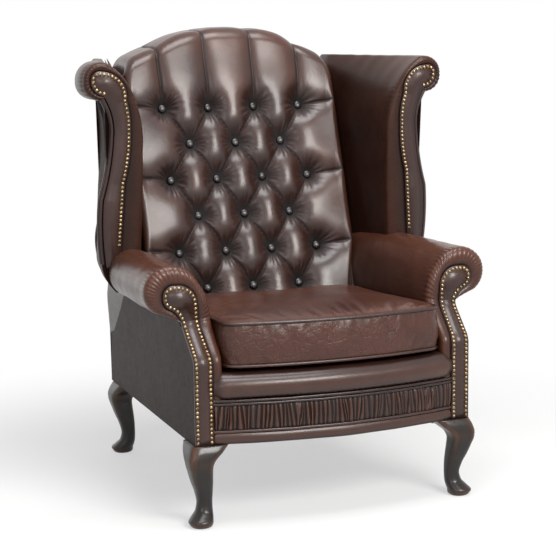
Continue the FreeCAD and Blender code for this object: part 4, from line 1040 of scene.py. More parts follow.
class ARMCHAIR_OT_outside_wings(bpy.types.Operator):
    """Leather stretched over the outside of each wing"""
    bl_idname = "armchair.outside_wings"
    bl_label = "Outside wings"

    def execute(self, context):
        rings = outside_wing_form()
        shown = rings.shape[1] // 2
        y, z = rings[:, :shown, 1], rings[:, :shown, 2]
        rings[:, :shown, 0] += 0.8 * ripple(y / 70, z / 90, 41) * rise(z, 520, 600)
        # Painted shade: a darker copy of the leather for the outside faces, which turn away from
        # the lamps
        material = leather("wing_outside_leather", tone=0.55, warmth=0.3, gloss=0.44,
                           shine=0.06, coat=0.0)
        make_pair("outside_wing_cover", rings, np.zeros(rings.shape[:2]),
                  0.25 * np.ones(rings.shape[:2]), material, "outside_leather",
                  "outside_wing", fill=None, pushed=0.0)
        return {"FINISHED"}


# ---------------------------------------------------------------- deep-buttoned back
def button_places(sizes):
    """X, Z and row of each button, from the lowest row up."""
    places = []
    for level, count in enumerate(BUTTON_COUNTS):
        z = BUTTON_LOW + sizes.rise * 1000 * level
        for index in range(count):
            places.append(((index - (count - 1) / 2) * sizes.pitch * 1000, z, level))
    return places


def pleat_lines(sizes):
    """Folds between neighbouring buttons, over the crest, to the sides and down."""
    pitch, step = sizes.pitch * 1000, sizes.rise * 1000
    places = button_places(sizes)
    lines = []
    for x, z, level in places:
        for other_x, other_z, other in places:
            if other == level + 1 and abs(abs(other_x - x) - pitch / 2) < 1:
                lines.append((x, z, other_x, other_z, 0.62))
    top = BUTTON_LOW + step * (len(BUTTON_COUNTS) - 1)
    for x, z, level in places:
        if z == top:
            lines.append((x, z, x * 1.06, z + 330, 0.52))
        if level == 0:
            lines.append((x, z, x, z - 100, 0.52))
        if BUTTON_COUNTS[level] == 4 and abs(x) > pitch:
            lines.append((x, z, math.copysign(300, x), z + 8, 0.45))
    return lines


# Beyond this a button's pit is too shallow to matter
PIT_REACH = 125


def tufting(x, z, sizes):
    """How deep the leather is drawn in, the painted shade of its folds and pits, and its lighter
    tops, with a painted highlight beside each pleat.

    X and z lie on the raked face. Widths and depths in the terms are millimetres."""
    stretch = 1 / math.cos(RAKE_ANGLE)
    open_share = np.ones_like(x)
    fold = np.zeros_like(x)
    lap = np.zeros_like(x)
    worn = np.zeros_like(x)
    reach = sizes.pleat_reach * 1000
    for ax, az, bx, bz, strength in pleat_lines(sizes):
        dx, dz = bx - ax, (bz - az) * stretch
        length = math.hypot(dx, dz)
        px, pz = x - ax, (z - az) * stretch
        along = np.clip((px * dx + pz * dz) / length ** 2, 0, 1)
        side = (px * dz - pz * dx) / length * (-1 if dx * dz > 0 or dx == 0 else 1)
        gap = np.hypot(px - along * dx, pz - along * dz)
        fade = 1.0 if length < 200 else 1 - 0.6 * along
        # A sharp crease at the fold and a wide hollow beside it
        drawn = 0.42 * np.exp(-gap / 4.6) + 0.58 * np.exp(-(gap / (1.3 * reach)) ** 1.45)
        open_share *= 1 - strength * fade * drawn
        # Painted shade: a dark line along the bottom of each pleat
        mark = np.exp(-(gap / 3.5) ** 2) * fade
        # Painted highlight: a light strip beside each pleat, stronger on its lower side
        worn = np.maximum(worn, np.where(side < 0, 0.75, 0.3) * fade * np.exp(
            -((gap - 7.0) / 2.6) ** 2))
        fold = np.maximum(fold, mark * (0.78 + 0.22 * np.abs(2 * along - 1)))
        # One side of the pleat laps over the other
        lap += np.where(side > 0, 2.3, -0.8) * np.exp(-gap / 6.5) * fade * np.sin(
            np.clip(along, 0.02, 0.98) * math.pi)
    crimp = np.zeros_like(x)
    for index, (bx, bz, _) in enumerate(button_places(sizes)):
        px, pz = x - bx, (z - bz) * stretch
        distance = np.hypot(px, pz)
        near = distance < PIT_REACH
        away = np.maximum(distance[near] - 10.0, 0)
        # The pit around the button, then small creases that run into it
        open_share[near] *= 1 - (0.62 * np.exp(-away / 9.0) + 0.38 * np.exp(
            -(away / 27.0) ** 1.4))
        angle = np.arctan2(pz[near], px[near])
        rays = np.sin(17 * angle + 2.4 * np.sin(3 * angle + index) + index * 1.7)
        reached = 15.0 + 5.0 * np.sin(2 * angle + index * 2.3)
        crimp[near] += rays * np.exp(-((distance[near] - 25) / reached) ** 2)
        # Painted shade in the pit around the button and in the small creases that run into it
        fold[near] = np.maximum(fold[near], np.exp(
            -(np.maximum(distance[near] - 9, 0) / 15.5) ** 1.7))
        fold[near] = np.maximum(fold[near], 0.50 * np.clip(-rays, 0, 1) * np.exp(
            -((distance[near] - 24) / (reached * 0.9)) ** 2))
    depth = sizes.depth * 1000 * (1 - open_share) - lap - crimp
    # Lighter tops of the diamonds for wear, plus the painted highlight strips
    tops = rise(open_share, 0.62, 0.98) + worn
    return depth, np.clip(fold, 0, 1), np.clip(tops, 0, 1.2)


def crest_height(x):
    """The camel back's top line, with its hump a little to the right as in the original."""
    share = x / CREST_HALF
    share = np.abs(share - 0.045 * (1 - share ** 2))
    up = smooth_levels(CREST_LINE, share)[0]
    return SHOULDER + (BACK_TOP - SHOULDER) * up


def back_half(z):
    """Half the back pad's width below the split."""
    return np.interp(z, *np.transpose(BACK_WIDTHS))


def back_profile(top, rows):
    """Y, Z and unrolled height up the pad's face, over the crest and down the hidden side."""
    corner, rear_corner = 30.0, 26.0
    face = int(rows * 0.7)
    z = np.concatenate([np.linspace(PAD_LOW, BACK_SPLIT, face, endpoint=False),
                        np.linspace(BACK_SPLIT, top - corner, rows - face)])
    y = button_y(z) - PAD_PUFF
    turn = np.linspace(0, math.pi / 2, 14)[1:]
    y_c = y[-1] + RAKE * corner * np.sin(turn) + corner * (1 - np.cos(turn))
    z_c = top - corner + corner * np.sin(turn)
    rear = outer_back_y(top) + CREST_OVERHANG
    y_t = np.linspace(y_c[-1], rear - rear_corner, 22)[1:]
    z_t = np.full_like(y_t, top) + 2.0 * np.sin(np.linspace(0, math.pi, 21))
    y_r = rear - rear_corner + rear_corner * np.sin(turn)
    z_r = top - rear_corner + rear_corner * np.cos(turn)
    z_d = np.linspace(z_r[-1], 959.0, 12)[1:]
    hidden_z = np.linspace(957.0, PAD_LOW, HIDDEN_ROWS)
    hidden_y = np.minimum(button_y(hidden_z) + PAD_REAR, outer_back_y(hidden_z) - 8)
    y_d = outer_back_y(z_d) + CREST_OVERHANG
    ring_y = np.concatenate([y, y_c, y_t, y_r, y_d, hidden_y])
    ring_z = np.concatenate([z, z_c, z_t, z_r, z_d, hidden_z])
    beyond = run_lengths(np.stack([ring_y, ring_z], 1))
    shown = len(y)
    return ring_y, ring_z, np.concatenate([
        z, top - corner + beyond[shown:] - beyond[shown - 1]])


class ARMCHAIR_OT_back_pad(bpy.types.Operator):
    """Deep-buttoned back that rolls over the camel crest"""
    bl_idname = "armchair.back_pad"
    bl_label = "Buttoned back"

    def execute(self, context):
        sizes = context.scene.armchair_back
        columns, rows = ((250, 276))
        across = np.linspace(-1, 1, columns)
        rings, unrolled = [], []
        for a in across:
            y, z, up = back_profile(float(crest_height(np.array(a * CREST_HALF))), rows)
            x = a * np.where(z > BACK_SPLIT, CREST_HALF, back_half(z))
            rings.append(np.stack([x, y, z], 1))
            unrolled.append(up)
        rings, unrolled = np.array(rings), np.array(unrolled)
        shown = rings.shape[1] - HIDDEN_ROWS
        x, z = rings[:, :shown, 0], unrolled[:, :shown]
        depth, fold, tops = tufting(x, z, sizes)
        over = rise(z, 985, 1075)
        rear = outer_back_y(1020.0)
        rear_fade = 1 - rise(rings[:, :shown, 1], rear - 40, rear)
        depth = depth * (1 - 0.25 * over) * (0.12 + 0.88 * rear_fade)
        from_side = (1 - np.abs(across))[:, None] * CREST_HALF
        soft = 16.0 + 20.0 * rise(z, 930, 1010)
        rounding = soft * (1 - np.sqrt(1 - (1 - np.clip(from_side / soft, 0, 1)) ** 2))
        depth = depth * rise(from_side, 0, 26) + rounding
        depth = depth + ripple(x / 21, z / 24, 71) * 0.55 * tops + ripple(x / 60, z / 55, 5) * 0.9
        normals = ring_normals(rings)[:, :shown]
        moved = rings.copy()
        moved[:, :shown] -= normals * depth[..., None]
        crease = np.zeros(rings.shape[:2])
        rub = np.zeros(rings.shape[:2])
        # Painted shade along the folds and where the leather is drawn in deepest
        crease[:, :shown] = np.clip(fold * 1.05 + 0.45 * rise(depth, 20, 34), 0, 1)
        # Lighter diamond tops for wear, and a painted sheen over the crest
        rub[:, :shown] = tops * (0.36 + 0.22 * ripple(x / 45, z / 50, 15)) + 0.3 * rise(
            z, 985, 1035) * tops
        made = closed_tube("buttoned_back", moved, leather(
            "tufted_leather", tone=0.92, warmth=0.70, gloss=0.35), crease=crease,
            rub=np.clip(rub, 0, 1))
        settle(made, "tufted_back", "back_pad", fill=0.8)
        return {"FINISHED"}


class ARMCHAIR_OT_buttons(bpy.types.Operator):
    """Leather-covered buttons at the bottoms of the tufts"""
    bl_idname = "armchair.buttons"
    bl_label = "Buttons"

    def execute(self, context):
        sizes = context.scene.armchair_back
        # Painted shade: the buttons get a near-black copy of the leather for the shade of their
        # deep pits
        material = leather("button_leather", tone=0.22, warmth=0.10, gloss=0.36, coat=0.3)
        nodes = stud_tree("button_set", 28, 14, Radius=sizes.button_radius, Rise=0.46,
                          Material=material)
        rng = np.random.default_rng(8)
        normal = np.array([0.0, -math.cos(RAKE_ANGLE), math.sin(RAKE_ANGLE)])
        places = [(x, button_y(z) - PAD_PUFF, z) for x, z, _ in button_places(sizes)]
        seats = np.array(places) - normal * (sizes.depth * 1000 - 3.2)
        tilts = normal + rng.normal(0, 0.07, (len(seats), 3))
        mesh = path_mesh("button_seats", seats, faces_to=tilts)
        settle(nodes.grown("covered_buttons", mesh), "buttons", "back_buttons")
        return {"FINISHED"}


# ---------------------------------------------------------------- facings and nails
def facing_panel(name, outline, front_of, material, slot, node, crown, levels):
    """A leather-covered facing with a slightly raised middle and turned edges."""
    for side, flip in SIDES:
        work = bmesh.new()
        work.faces.new([work.verts.new((x, 0, z)) for x, z in outline[:-1]])
        work.faces.ensure_lookup_table()
        middle = [work.faces[0]]
        raised = 0.0
        # How far each step goes in from the turned edge, and how far it rises
        for inset, step in ((1.2, 1.3), (2.0, 0.7), (4.0, crown * 0.5), (5.0, crown * 0.5)):
            bmesh.ops.inset_region(work, faces=middle, thickness=inset,
                                   use_even_offset=False)
            raised += step
            for vert in {v for face in middle for v in face.verts}:
                vert.co.y = -raised
        for level in levels:
            bmesh.ops.bisect_plane(
                work, geom=work.verts[:] + work.edges[:] + work.faces[:],
                plane_co=(0, 0, level), plane_no=(0, 0, 1))
        bmesh.ops.triangulate(work, faces=work.faces[:])
        for vert in work.verts:
            x, y, z = vert.co
            vert.co = to_frame(np.array([x * flip, y + float(front_of(z)) + 1.6, z]))
        mesh = bpy.data.meshes.new("%s_%s" % (name, side))
        work.to_mesh(mesh)
        work.free()
        mesh.polygons.foreach_set("use_smooth", [True] * len(mesh.polygons))
        mesh.materials.append(material)
        made = bpy.data.objects.new(mesh.name, mesh)
        bpy.context.scene.collection.objects.link(made)
        outward(made, to_frame(np.array([330 * flip, 500.0, 500.0])))
        wall = made.modifiers.new("wall", "SOLIDIFY")
        wall.thickness = 0.006
        wall.offset = -1
        settle(made, slot, "%s_%s" % (node, side))


def arm_facing_outline():
    """The arm facing's edge, closed down its straight lower part."""
    edge = arm_facing_edge()[UPRIGHT_POINTS:]
    lower = traced((FRONT_HALF, ELBOW), [
        (24, (FRONT_HALF, LEG_HEIGHT + 0.6)), (6, (FACING_INNER, LEG_HEIGHT + 0.6)),
        (24, (FACING_INNER, ELBOW))])
    return np.concatenate([edge, lower])


def wing_facing_outline():
    """The wing facing's edge, closed down its outer side."""
    edge = wing_facing_edge()

    def at(across, up):
        return (wing_x(across), wing_z(up))
    back = traced(at(0.675, 0.823), [
        (24, at(0.55, 0.74), at(0.505, 0.60)), (30, at(0.58, 0.41), at(0.69, 0.27)),
        (16, at(0.71, 0.12), (wing_x(0.66), WING_FOOT)), (6, tuple(edge[0]))])
    return np.concatenate([edge, back[1:]])


def beside(points, inset, count=240):
    """An open (x, z) line, evenly spaced and moved to its right by the inset."""
    smooth = spread(points, count)
    ahead = np.gradient(smooth, axis=0)
    ahead /= np.linalg.norm(ahead, axis=1, keepdims=True)
    return smooth + np.stack([ahead[:, 1], -ahead[:, 0]], 1) * inset


class ARMCHAIR_OT_wing_pipings(bpy.types.Operator):
    """Dark piping along the outer front edge of each wing"""
    bl_idname = "armchair.wing_pipings"
    bl_label = "Wing pipings"

    def execute(self, context):
        material = leather("wing_piping_leather", tone=0.75, warmth=0.5, gloss=0.32)
        # From under the scroll to the wing's foot
        outer_edge = wing_facing_outline()[len(wing_facing_edge()) - 1:-7]
        line = beside(outer_edge, -5.0, 120)
        for side, flip in SIDES:
            for part, out, back in (("front", 0.0, 3.0), ("rear", 4.0, 8.5)):
                points = np.column_stack([(line[:, 0] + out) * flip,
                                          wing_front_y(line[:, 1]) + back, line[:, 1]])
                mesh = path_mesh("wing_piping", points)
                settle(piping_tree(0.0038, material).grown(
                    "wing_piping_%s_%s" % (part, side), mesh), "piping")
        return {"FINISHED"}


class ARMCHAIR_OT_facings(bpy.types.Operator):
    """Facings of the arms and wings, framed by the nail rows"""
    bl_idname = "armchair.facings"
    bl_label = "Facings"

    def execute(self, context):
        material = leather("facing_leather", tone=1.15, warmth=0.5, gloss=0.38)
        facing_panel("arm_facing_panel", arm_facing_outline(), facing_y, material, "facing",
                     "arm_facing", 2.0, np.arange(200, 560, 7.7))
        facing_panel("wing_facing_panel", wing_facing_outline(), wing_front_y, material,
                     "facing", "wing_facing", 1.6, np.arange(540, 980, 22.0))
        return {"FINISHED"}


class ARMCHAIR_OT_nails(bpy.types.Operator):
    """Close rows of antique brass nails around the facings"""
    bl_idname = "armchair.nails"
    bl_label = "Brass nails"

    def execute(self, context):
        sizes = context.scene.armchair_nails
        brass = antique_brass("antique_brass")
        # The rows end a little above the frame and above the arm
        end = LEG_HEIGHT + 8
        arm_line = np.concatenate([
            [(FACING_INNER, end), (FACING_INNER, ELBOW)],
            arm_facing_edge()[UPRIGHT_POINTS + 1:],
            [(FRONT_HALF, ELBOW), (FRONT_HALF, end)]])
        wing_line = wing_facing_edge()
        wing_line = wing_line[wing_line[:, 1] > ARM_TOP + 8]
        for kind, line, front_of in (("arm", arm_line, facing_y),
                                     ("wing", wing_line, wing_front_y)):
            row = beside(line, sizes.inset * 1000)
            y, climb = front_of(row[:, 1]), np.gradient(row[:, 1])
            climb = np.where(np.abs(climb) < 1e-6, 1e-6, climb)
            level = np.clip(np.gradient(y) / climb, -0.1, 1.2)
            points = np.stack([row[:, 0], y - 2.0, row[:, 1]], 1)
            facing = np.stack([0 * level, -1 + 0 * level, level], 1)
            for side, flip in SIDES:
                mesh = path_mesh(kind + "_nails", points * np.array([flip, 1, 1]),
                                 faces_to=facing)
                nodes = stud_tree("nail_row", 14, 8, Pitch=sizes.pitch, Radius=sizes.radius,
                                  Rise=sizes.rise, Seed=11, Material=brass)
                settle(nodes.grown("%s_nail_row_%s" % (kind, side), mesh), "nails",
                       "%s_nails_%s" % (kind, side))
        return {"FINISHED"}


# ---------------------------------------------------------------- seat front
def bow_rings(section, count):
    """A closed (offset, z) section along the bow, from the left arm to the right."""
    half = math.asin((FACING_INNER - 0.6) / BOW_RADIUS)
    reach = BOW_RADIUS + section[:, 0]
    return np.array([
        np.stack([reach * math.sin(turn), BOW_CENTRE - reach * math.cos(turn), section[:, 1]], 1)
        for turn in np.linspace(-half, half, count)])


class ARMCHAIR_OT_seat_front(bpy.types.Operator):
    """Front roll, ruched band, lower band and welts along the bow"""
    bl_idname = "armchair.seat_front"
    bl_label = "Seat front"

    def execute(self, context):
        sizes = context.scene.armchair_seat
        material = leather("front_leather", tone=0.95, warmth=0.6)
        self.front_roll(material)
        self.ruched_band(sizes, leather("ruched_leather", tone=0.75, warmth=0.62))
        self.lower_band(leather("band_leather", tone=1.0, warmth=0.5))
        dark = leather("piping_leather", tone=0.7, warmth=0.35, gloss=0.32)
        light = leather("welt_leather", tone=1.35, warmth=0.9)
        half = math.asin((FACING_INNER - 1) / BOW_RADIUS)
        turn = np.linspace(-half, half, 120)
        reach = BOW_RADIUS - 2
        x, y = reach * np.sin(turn), BOW_CENTRE - reach * np.cos(turn)
        for place, heights, coat in (("upper", UPPER_WELTS, dark), ("lower", LOWER_WELT, light)):
            lines = [np.stack([x, y, height + 0.35 * ripple(turn * 60, 0, int(height))], 1)
                     for height in heights]
            made = piping_tree(sizes.piping, coat).grown(
                place + "_welt_cord", path_mesh(place + "_welt", *lines))
            settle(made, "piping", "welt_" + place)
        return {"FINISHED"}

    def front_roll(self, material):
        section = traced((-8.0, 281.0), [
            (12, (1.5, 283.5), (8.5, 292.5)), (22, (12.0, 309.0), (2.5, 325.0)),
            (14, (-7.0, 333.5), (-20.0, 336.5)), (14, (-62.0, 337.0)), (6, (-62.0, 281.0)),
            (6, (-8.0, 281.0))])[:-1]
        rings = bow_rings(section, 170)
        normals = ring_normals(rings)
        s = (np.linspace(-1, 1, len(rings)) * 290)[:, None]
        around = run_lengths(section)[None, :]
        shown = (section[:, 0] > -40)[None, :]
        gathers = gather_wave(np.linspace(0, 580, len(rings)), 15.0, 31)[:, None]
        hem = np.exp(-(around / 11.0) ** 2)
        wave = 0.75 * gathers * hem + ripple(s / 44, around / 15, 33) * 0.9
        end = rise(np.abs(s), 262, 290)
        wave = wave - 7 * end * end
        rings = rings + normals * (wave * shown)[..., None]
        # Painted shade in the gather valleys at the hem, along the tucked seam and at the ends by
        # the arms
        crease = np.clip(0.5 * hem * np.clip(-gathers, 0, 1) + np.exp(-(around / 2.5) ** 2)
                         + 0.6 * end, 0, 1) * np.ones_like(rings[..., 0])
        # Painted highlight: a light band along the middle of the roll
        rub = np.clip(np.exp(-((around - 34) / 16.0) ** 2) * (0.7 + 0.2 * ripple(
            s / 60, 0, 4)), 0, 1) * np.ones_like(rings[..., 0])
        settle(closed_tube("front_roll_pad", rings, material, crease=crease, rub=rub),
               "front_leather", "front_roll", fill=0.85)

    def ruched_band(self, sizes, material):
        low, high, levels = RUCHE_LOW, RUCHE_HIGH, 17
        count = 640
        gathers = sizes.gathers
        rng = np.random.default_rng(19)
        edges = np.concatenate([[0], np.cumsum(rng.uniform(0.5, 1.5, gathers))])
        edges /= edges[-1]
        heights = rng.uniform(0.55, 1.15, gathers)
        leans = rng.normal(0, 0.5, gathers)
        up = np.linspace(0, 1, levels)
        place = np.linspace(0, 1, count)
        fold = np.clip(np.searchsorted(edges, place, side="right") - 1, 0, gathers - 1)
        section = np.concatenate([
            np.stack([np.full(levels, -2.0), low + (high - low) * up], 1),
            [[-8.6, high], [-8.6, low]]])
        rings = bow_rings(section, count)
        lean = np.interp(place * gathers, np.arange(gathers) + 0.5, leans)
        step = 1.0 / gathers
        proud = np.zeros((count, levels))
        valley = np.zeros((count, levels))
        for k, t in enumerate(up):
            shifted = place + step * (lean * (t - 0.5) * 1.5 + 0.12 * ripple(
                place * gathers * 0.9, t * 2.2, 23))
            shifted = np.clip(shifted, 0, 0.99999)
            index = np.clip(np.searchsorted(edges, shifted, side="right") - 1, 0, gathers - 1)
            part = (shifted - edges[index]) / (edges[index + 1] - edges[index])
            bulge = np.sin(np.clip(part, 0, 1) * math.pi) ** 0.95
            edge = 0.45 + 0.55 * math.sin(math.pi * (0.06 + 0.88 * t)) ** 0.5
            proud[:, k] = bulge * heights[index] * sizes.gather_depth * 1000 * edge
            fine = 0.5 + 0.5 * np.sin(place * gathers * 14.6 + 5 * t + 3 * ripple(
                place * 60, t * 2, 77))
            proud[:, k] *= 0.88 + 0.12 * fine
            valley[:, k] = np.clip(1.22 - 1.45 * bulge * (0.45 + 0.55 * heights[index])
                                   + 0.12 * fine, 0, 1)
        outward_way = ring_normals(rings)[:, :levels]
        swell = 1.6 * np.sin(up * math.pi) ** 0.7
        rings[:, :levels] += outward_way * (proud - 1.2 + swell)[..., None]
        crease = np.zeros(rings.shape[:2])
        rub = np.zeros(rings.shape[:2])
        # Painted shade in the valleys between the gathers and along the band's top and bottom
        # edges
        crease[:, :levels] = np.clip(valley * 0.95, 0, 1)
        crease[:, :2] += 0.3
        crease[:, levels - 2:levels] += 0.3
        # Painted highlight on the gathers' ridges
        rub[:, :levels] = np.clip((1 - valley) * 0.95 * heights[fold][:, None], 0, 1)
        settle(closed_tube("ruched_front", rings, material, crease=np.clip(crease, 0, 1),
                           rub=rub), "front_leather", "ruched_band")

    def lower_band(self, material):
        section = traced((-8.4, 181.6), [
            (3, (-3.0, 181.6)), (18, (0.9, 193.4), (-3.0, 205.2)), (3, (-8.4, 205.2)),
            (5, (-8.4, 181.6))])[:-1]
        rings = bow_rings(section, 150)
        s = np.linspace(-290, 290, len(rings))[:, None]
        wave = ripple(s / 33, section[None, :, 1] / 9, 61) * 0.35
        rings = rings + ring_normals(rings) * (wave * (section[None, :, 0] > -8))[..., None]
        # Painted shade along the lower edge, where the band turns under; the band above is made
        # lighter
        low = rise(section[:, 1], 181, 190)[None, :] * np.ones((len(rings), 1))
        settle(closed_tube("lower_band_cover", rings, material, crease=0.5 * (1 - low),
                           rub=0.5 * low), "front_leather", "lower_band")


# ---------------------------------------------------------------- cushion and deck
def rounded_plan(corners, radius, count):
    """A closed plan whose sides are arcs, with rounded corners. Sides are
    (corner, point the side passes through)."""
    sides = []
    for k, (corner, through) in enumerate(corners):
        after = corners[(k + 1) % len(corners)][0]
        sides.append(arc_points(corner, through, after, 200))
    path = np.concatenate(sides)
    whole = np.concatenate([path, path[:1]])
    even = spread(whole, 2401)[:-1]
    lengths = run_lengths(np.concatenate([even, even[:1]]))
    spacing = lengths[-1] / len(even)
    half = int(radius / spacing)
    for corner, _ in corners:
        at = int(np.argmin(np.linalg.norm(even - np.array(corner), axis=1)))
        first, last = even[(at - half) % len(even)].copy(), even[(at + half) % len(even)].copy()
        for step in range(2 * half + 1):
            t = step / (2 * half)
            even[(at - half + step) % len(even)] = (
                (1 - t) ** 2 * first + 2 * t * (1 - t) * np.array(corner) + t * t * last)
    return spread(np.concatenate([even, even[:1]]), count + 1)[:-1]


def cushion_plan(inset):
    """The cushion's outline from above."""
    front, back = CUSHION_FRONT + inset, CUSHION_BACK - inset
    half_front = float(seat_half(0)) - CUSHION_GAP - inset
    half_back = float(seat_half(back)) - CUSHION_GAP - inset
    middle = (half_front + half_back) / 2 - 2.5
    bow = BOW * (half_front / FACING_INNER) ** 2
    return rounded_plan([
        ((half_front, front + bow), (middle, (front + back) / 2)),
        ((half_back, back), (0.0, back - 2.5)),
        ((-half_back, back), (-middle, (front + back) / 2)),
        ((-half_front, front + bow), (0.0, front))], CUSHION_CORNER, CUSHION_POINTS)


def seam_distance(points):
    """Metres from each point to the cushion's outline, seen from above."""
    plan = to_frame(np.column_stack([cushion_plan(0.0), np.zeros(CUSHION_POINTS)]))[:, :2]
    return np.min(np.linalg.norm(points[:, None, :2] - plan[None, ::2], axis=2), axis=1)


def sat_down(points, border):
    """Lowers the cushion's top, most at the back, where it is sat down."""
    y = (points[..., 1] - FRONT) * 1000
    share = np.clip((points[..., 2] * 1000 - SEAM_LOW) / border, 0, 1)
    moved = points.copy()
    moved[..., 2] -= 0.001 * share * (3.0 + 15.0 * rise(y, -30, 430))
    return moved


# How far out the rings of the cushion's top lie
CROWN_SHARES = (0.985, 0.965, 0.94, 0.91, 0.87, 0.82, 0.76, 0.7, 0.62, 0.54, 0.45, 0.35, 0.24,
                0.12)


def cushion_rings(sizes):
    """Levels of the cushion: underside, border and crown, drawn in towards the middle."""
    seam_high = SEAM_LOW + sizes.border * 1000
    plan = cushion_plan(0.0)
    middle = np.array([0.0, (CUSHION_FRONT + CUSHION_BACK) / 2 + 6])
    rings = []
    for share, height in (*[(part, CUSHION_FOOT) for part in (0.12, 0.35, 0.6, 0.8, 0.9, 0.95)],
                          (0.985, CUSHION_FOOT + 2.1)):
        rings.append((middle + (plan - middle) * share, height))
    rings.append((plan, SEAM_LOW))
    for part in np.linspace(0, 1, 13)[1:-1]:
        swell = 4.5 * math.sin(part * math.pi) ** 0.8
        rings.append((cushion_plan(-swell), SEAM_LOW + (seam_high - SEAM_LOW) * part))
    rings.append((plan, seam_high))
    for share in CROWN_SHARES:
        lift = sizes.crown * 1000 * (1 - share ** 3.4) ** 0.72
        rings.append((middle + (plan - middle) * share, seam_high + lift))
    return np.array([np.column_stack([p, np.full(len(p), z)]) for p, z in rings])


# The swelled skin: its even faces, how far it travels in all, and sideways, in metres
SKIN_VOXEL, SKIN_TRAVEL, SKIN_SIDEWAYS = 0.0055, 0.014, 0.005
SWELL_FRAMES = 20


def inflate(made, held, cap):
    """Cloth under pressure, with held points fixed and each point's travel capped."""
    scene = bpy.context.scene
    group = made.vertex_groups.new(name="held")
    group.add([int(k) for k in held], 1.0, "REPLACE")
    before = np.array([v.co for v in made.data.vertices])
    cloth = made.modifiers.new("swell", "CLOTH")
    for key, value in (
            ("quality", 5), ("mass", 0.35), ("tension_stiffness", 22),
            ("compression_stiffness", 18), ("bending_stiffness", 1.2), ("use_pressure", True),
            ("uniform_pressure_force", 4.0), ("vertex_group_mass", "held"),
            ("shrink_min", -0.012)):
        setattr(cloth.settings, key, value)
    cloth.settings.effector_weights.gravity = 0.0
    cloth.collision_settings.use_collision = False
    cloth.point_cache.frame_start, cloth.point_cache.frame_end = 1, SWELL_FRAMES
    for step in range(1, SWELL_FRAMES + 1):
        scene.frame_set(step)
    view = bpy.context.evaluated_depsgraph_get()
    swollen = made.evaluated_get(view).to_mesh()
    after = np.array([v.co for v in swollen.vertices])
    made.modifiers.remove(cloth)
    scene.frame_set(1)
    move = after - before
    size = np.linalg.norm(move, axis=1, keepdims=True)
    move *= np.tanh(size / cap) * cap / np.maximum(size, 1e-9)
    return before, move


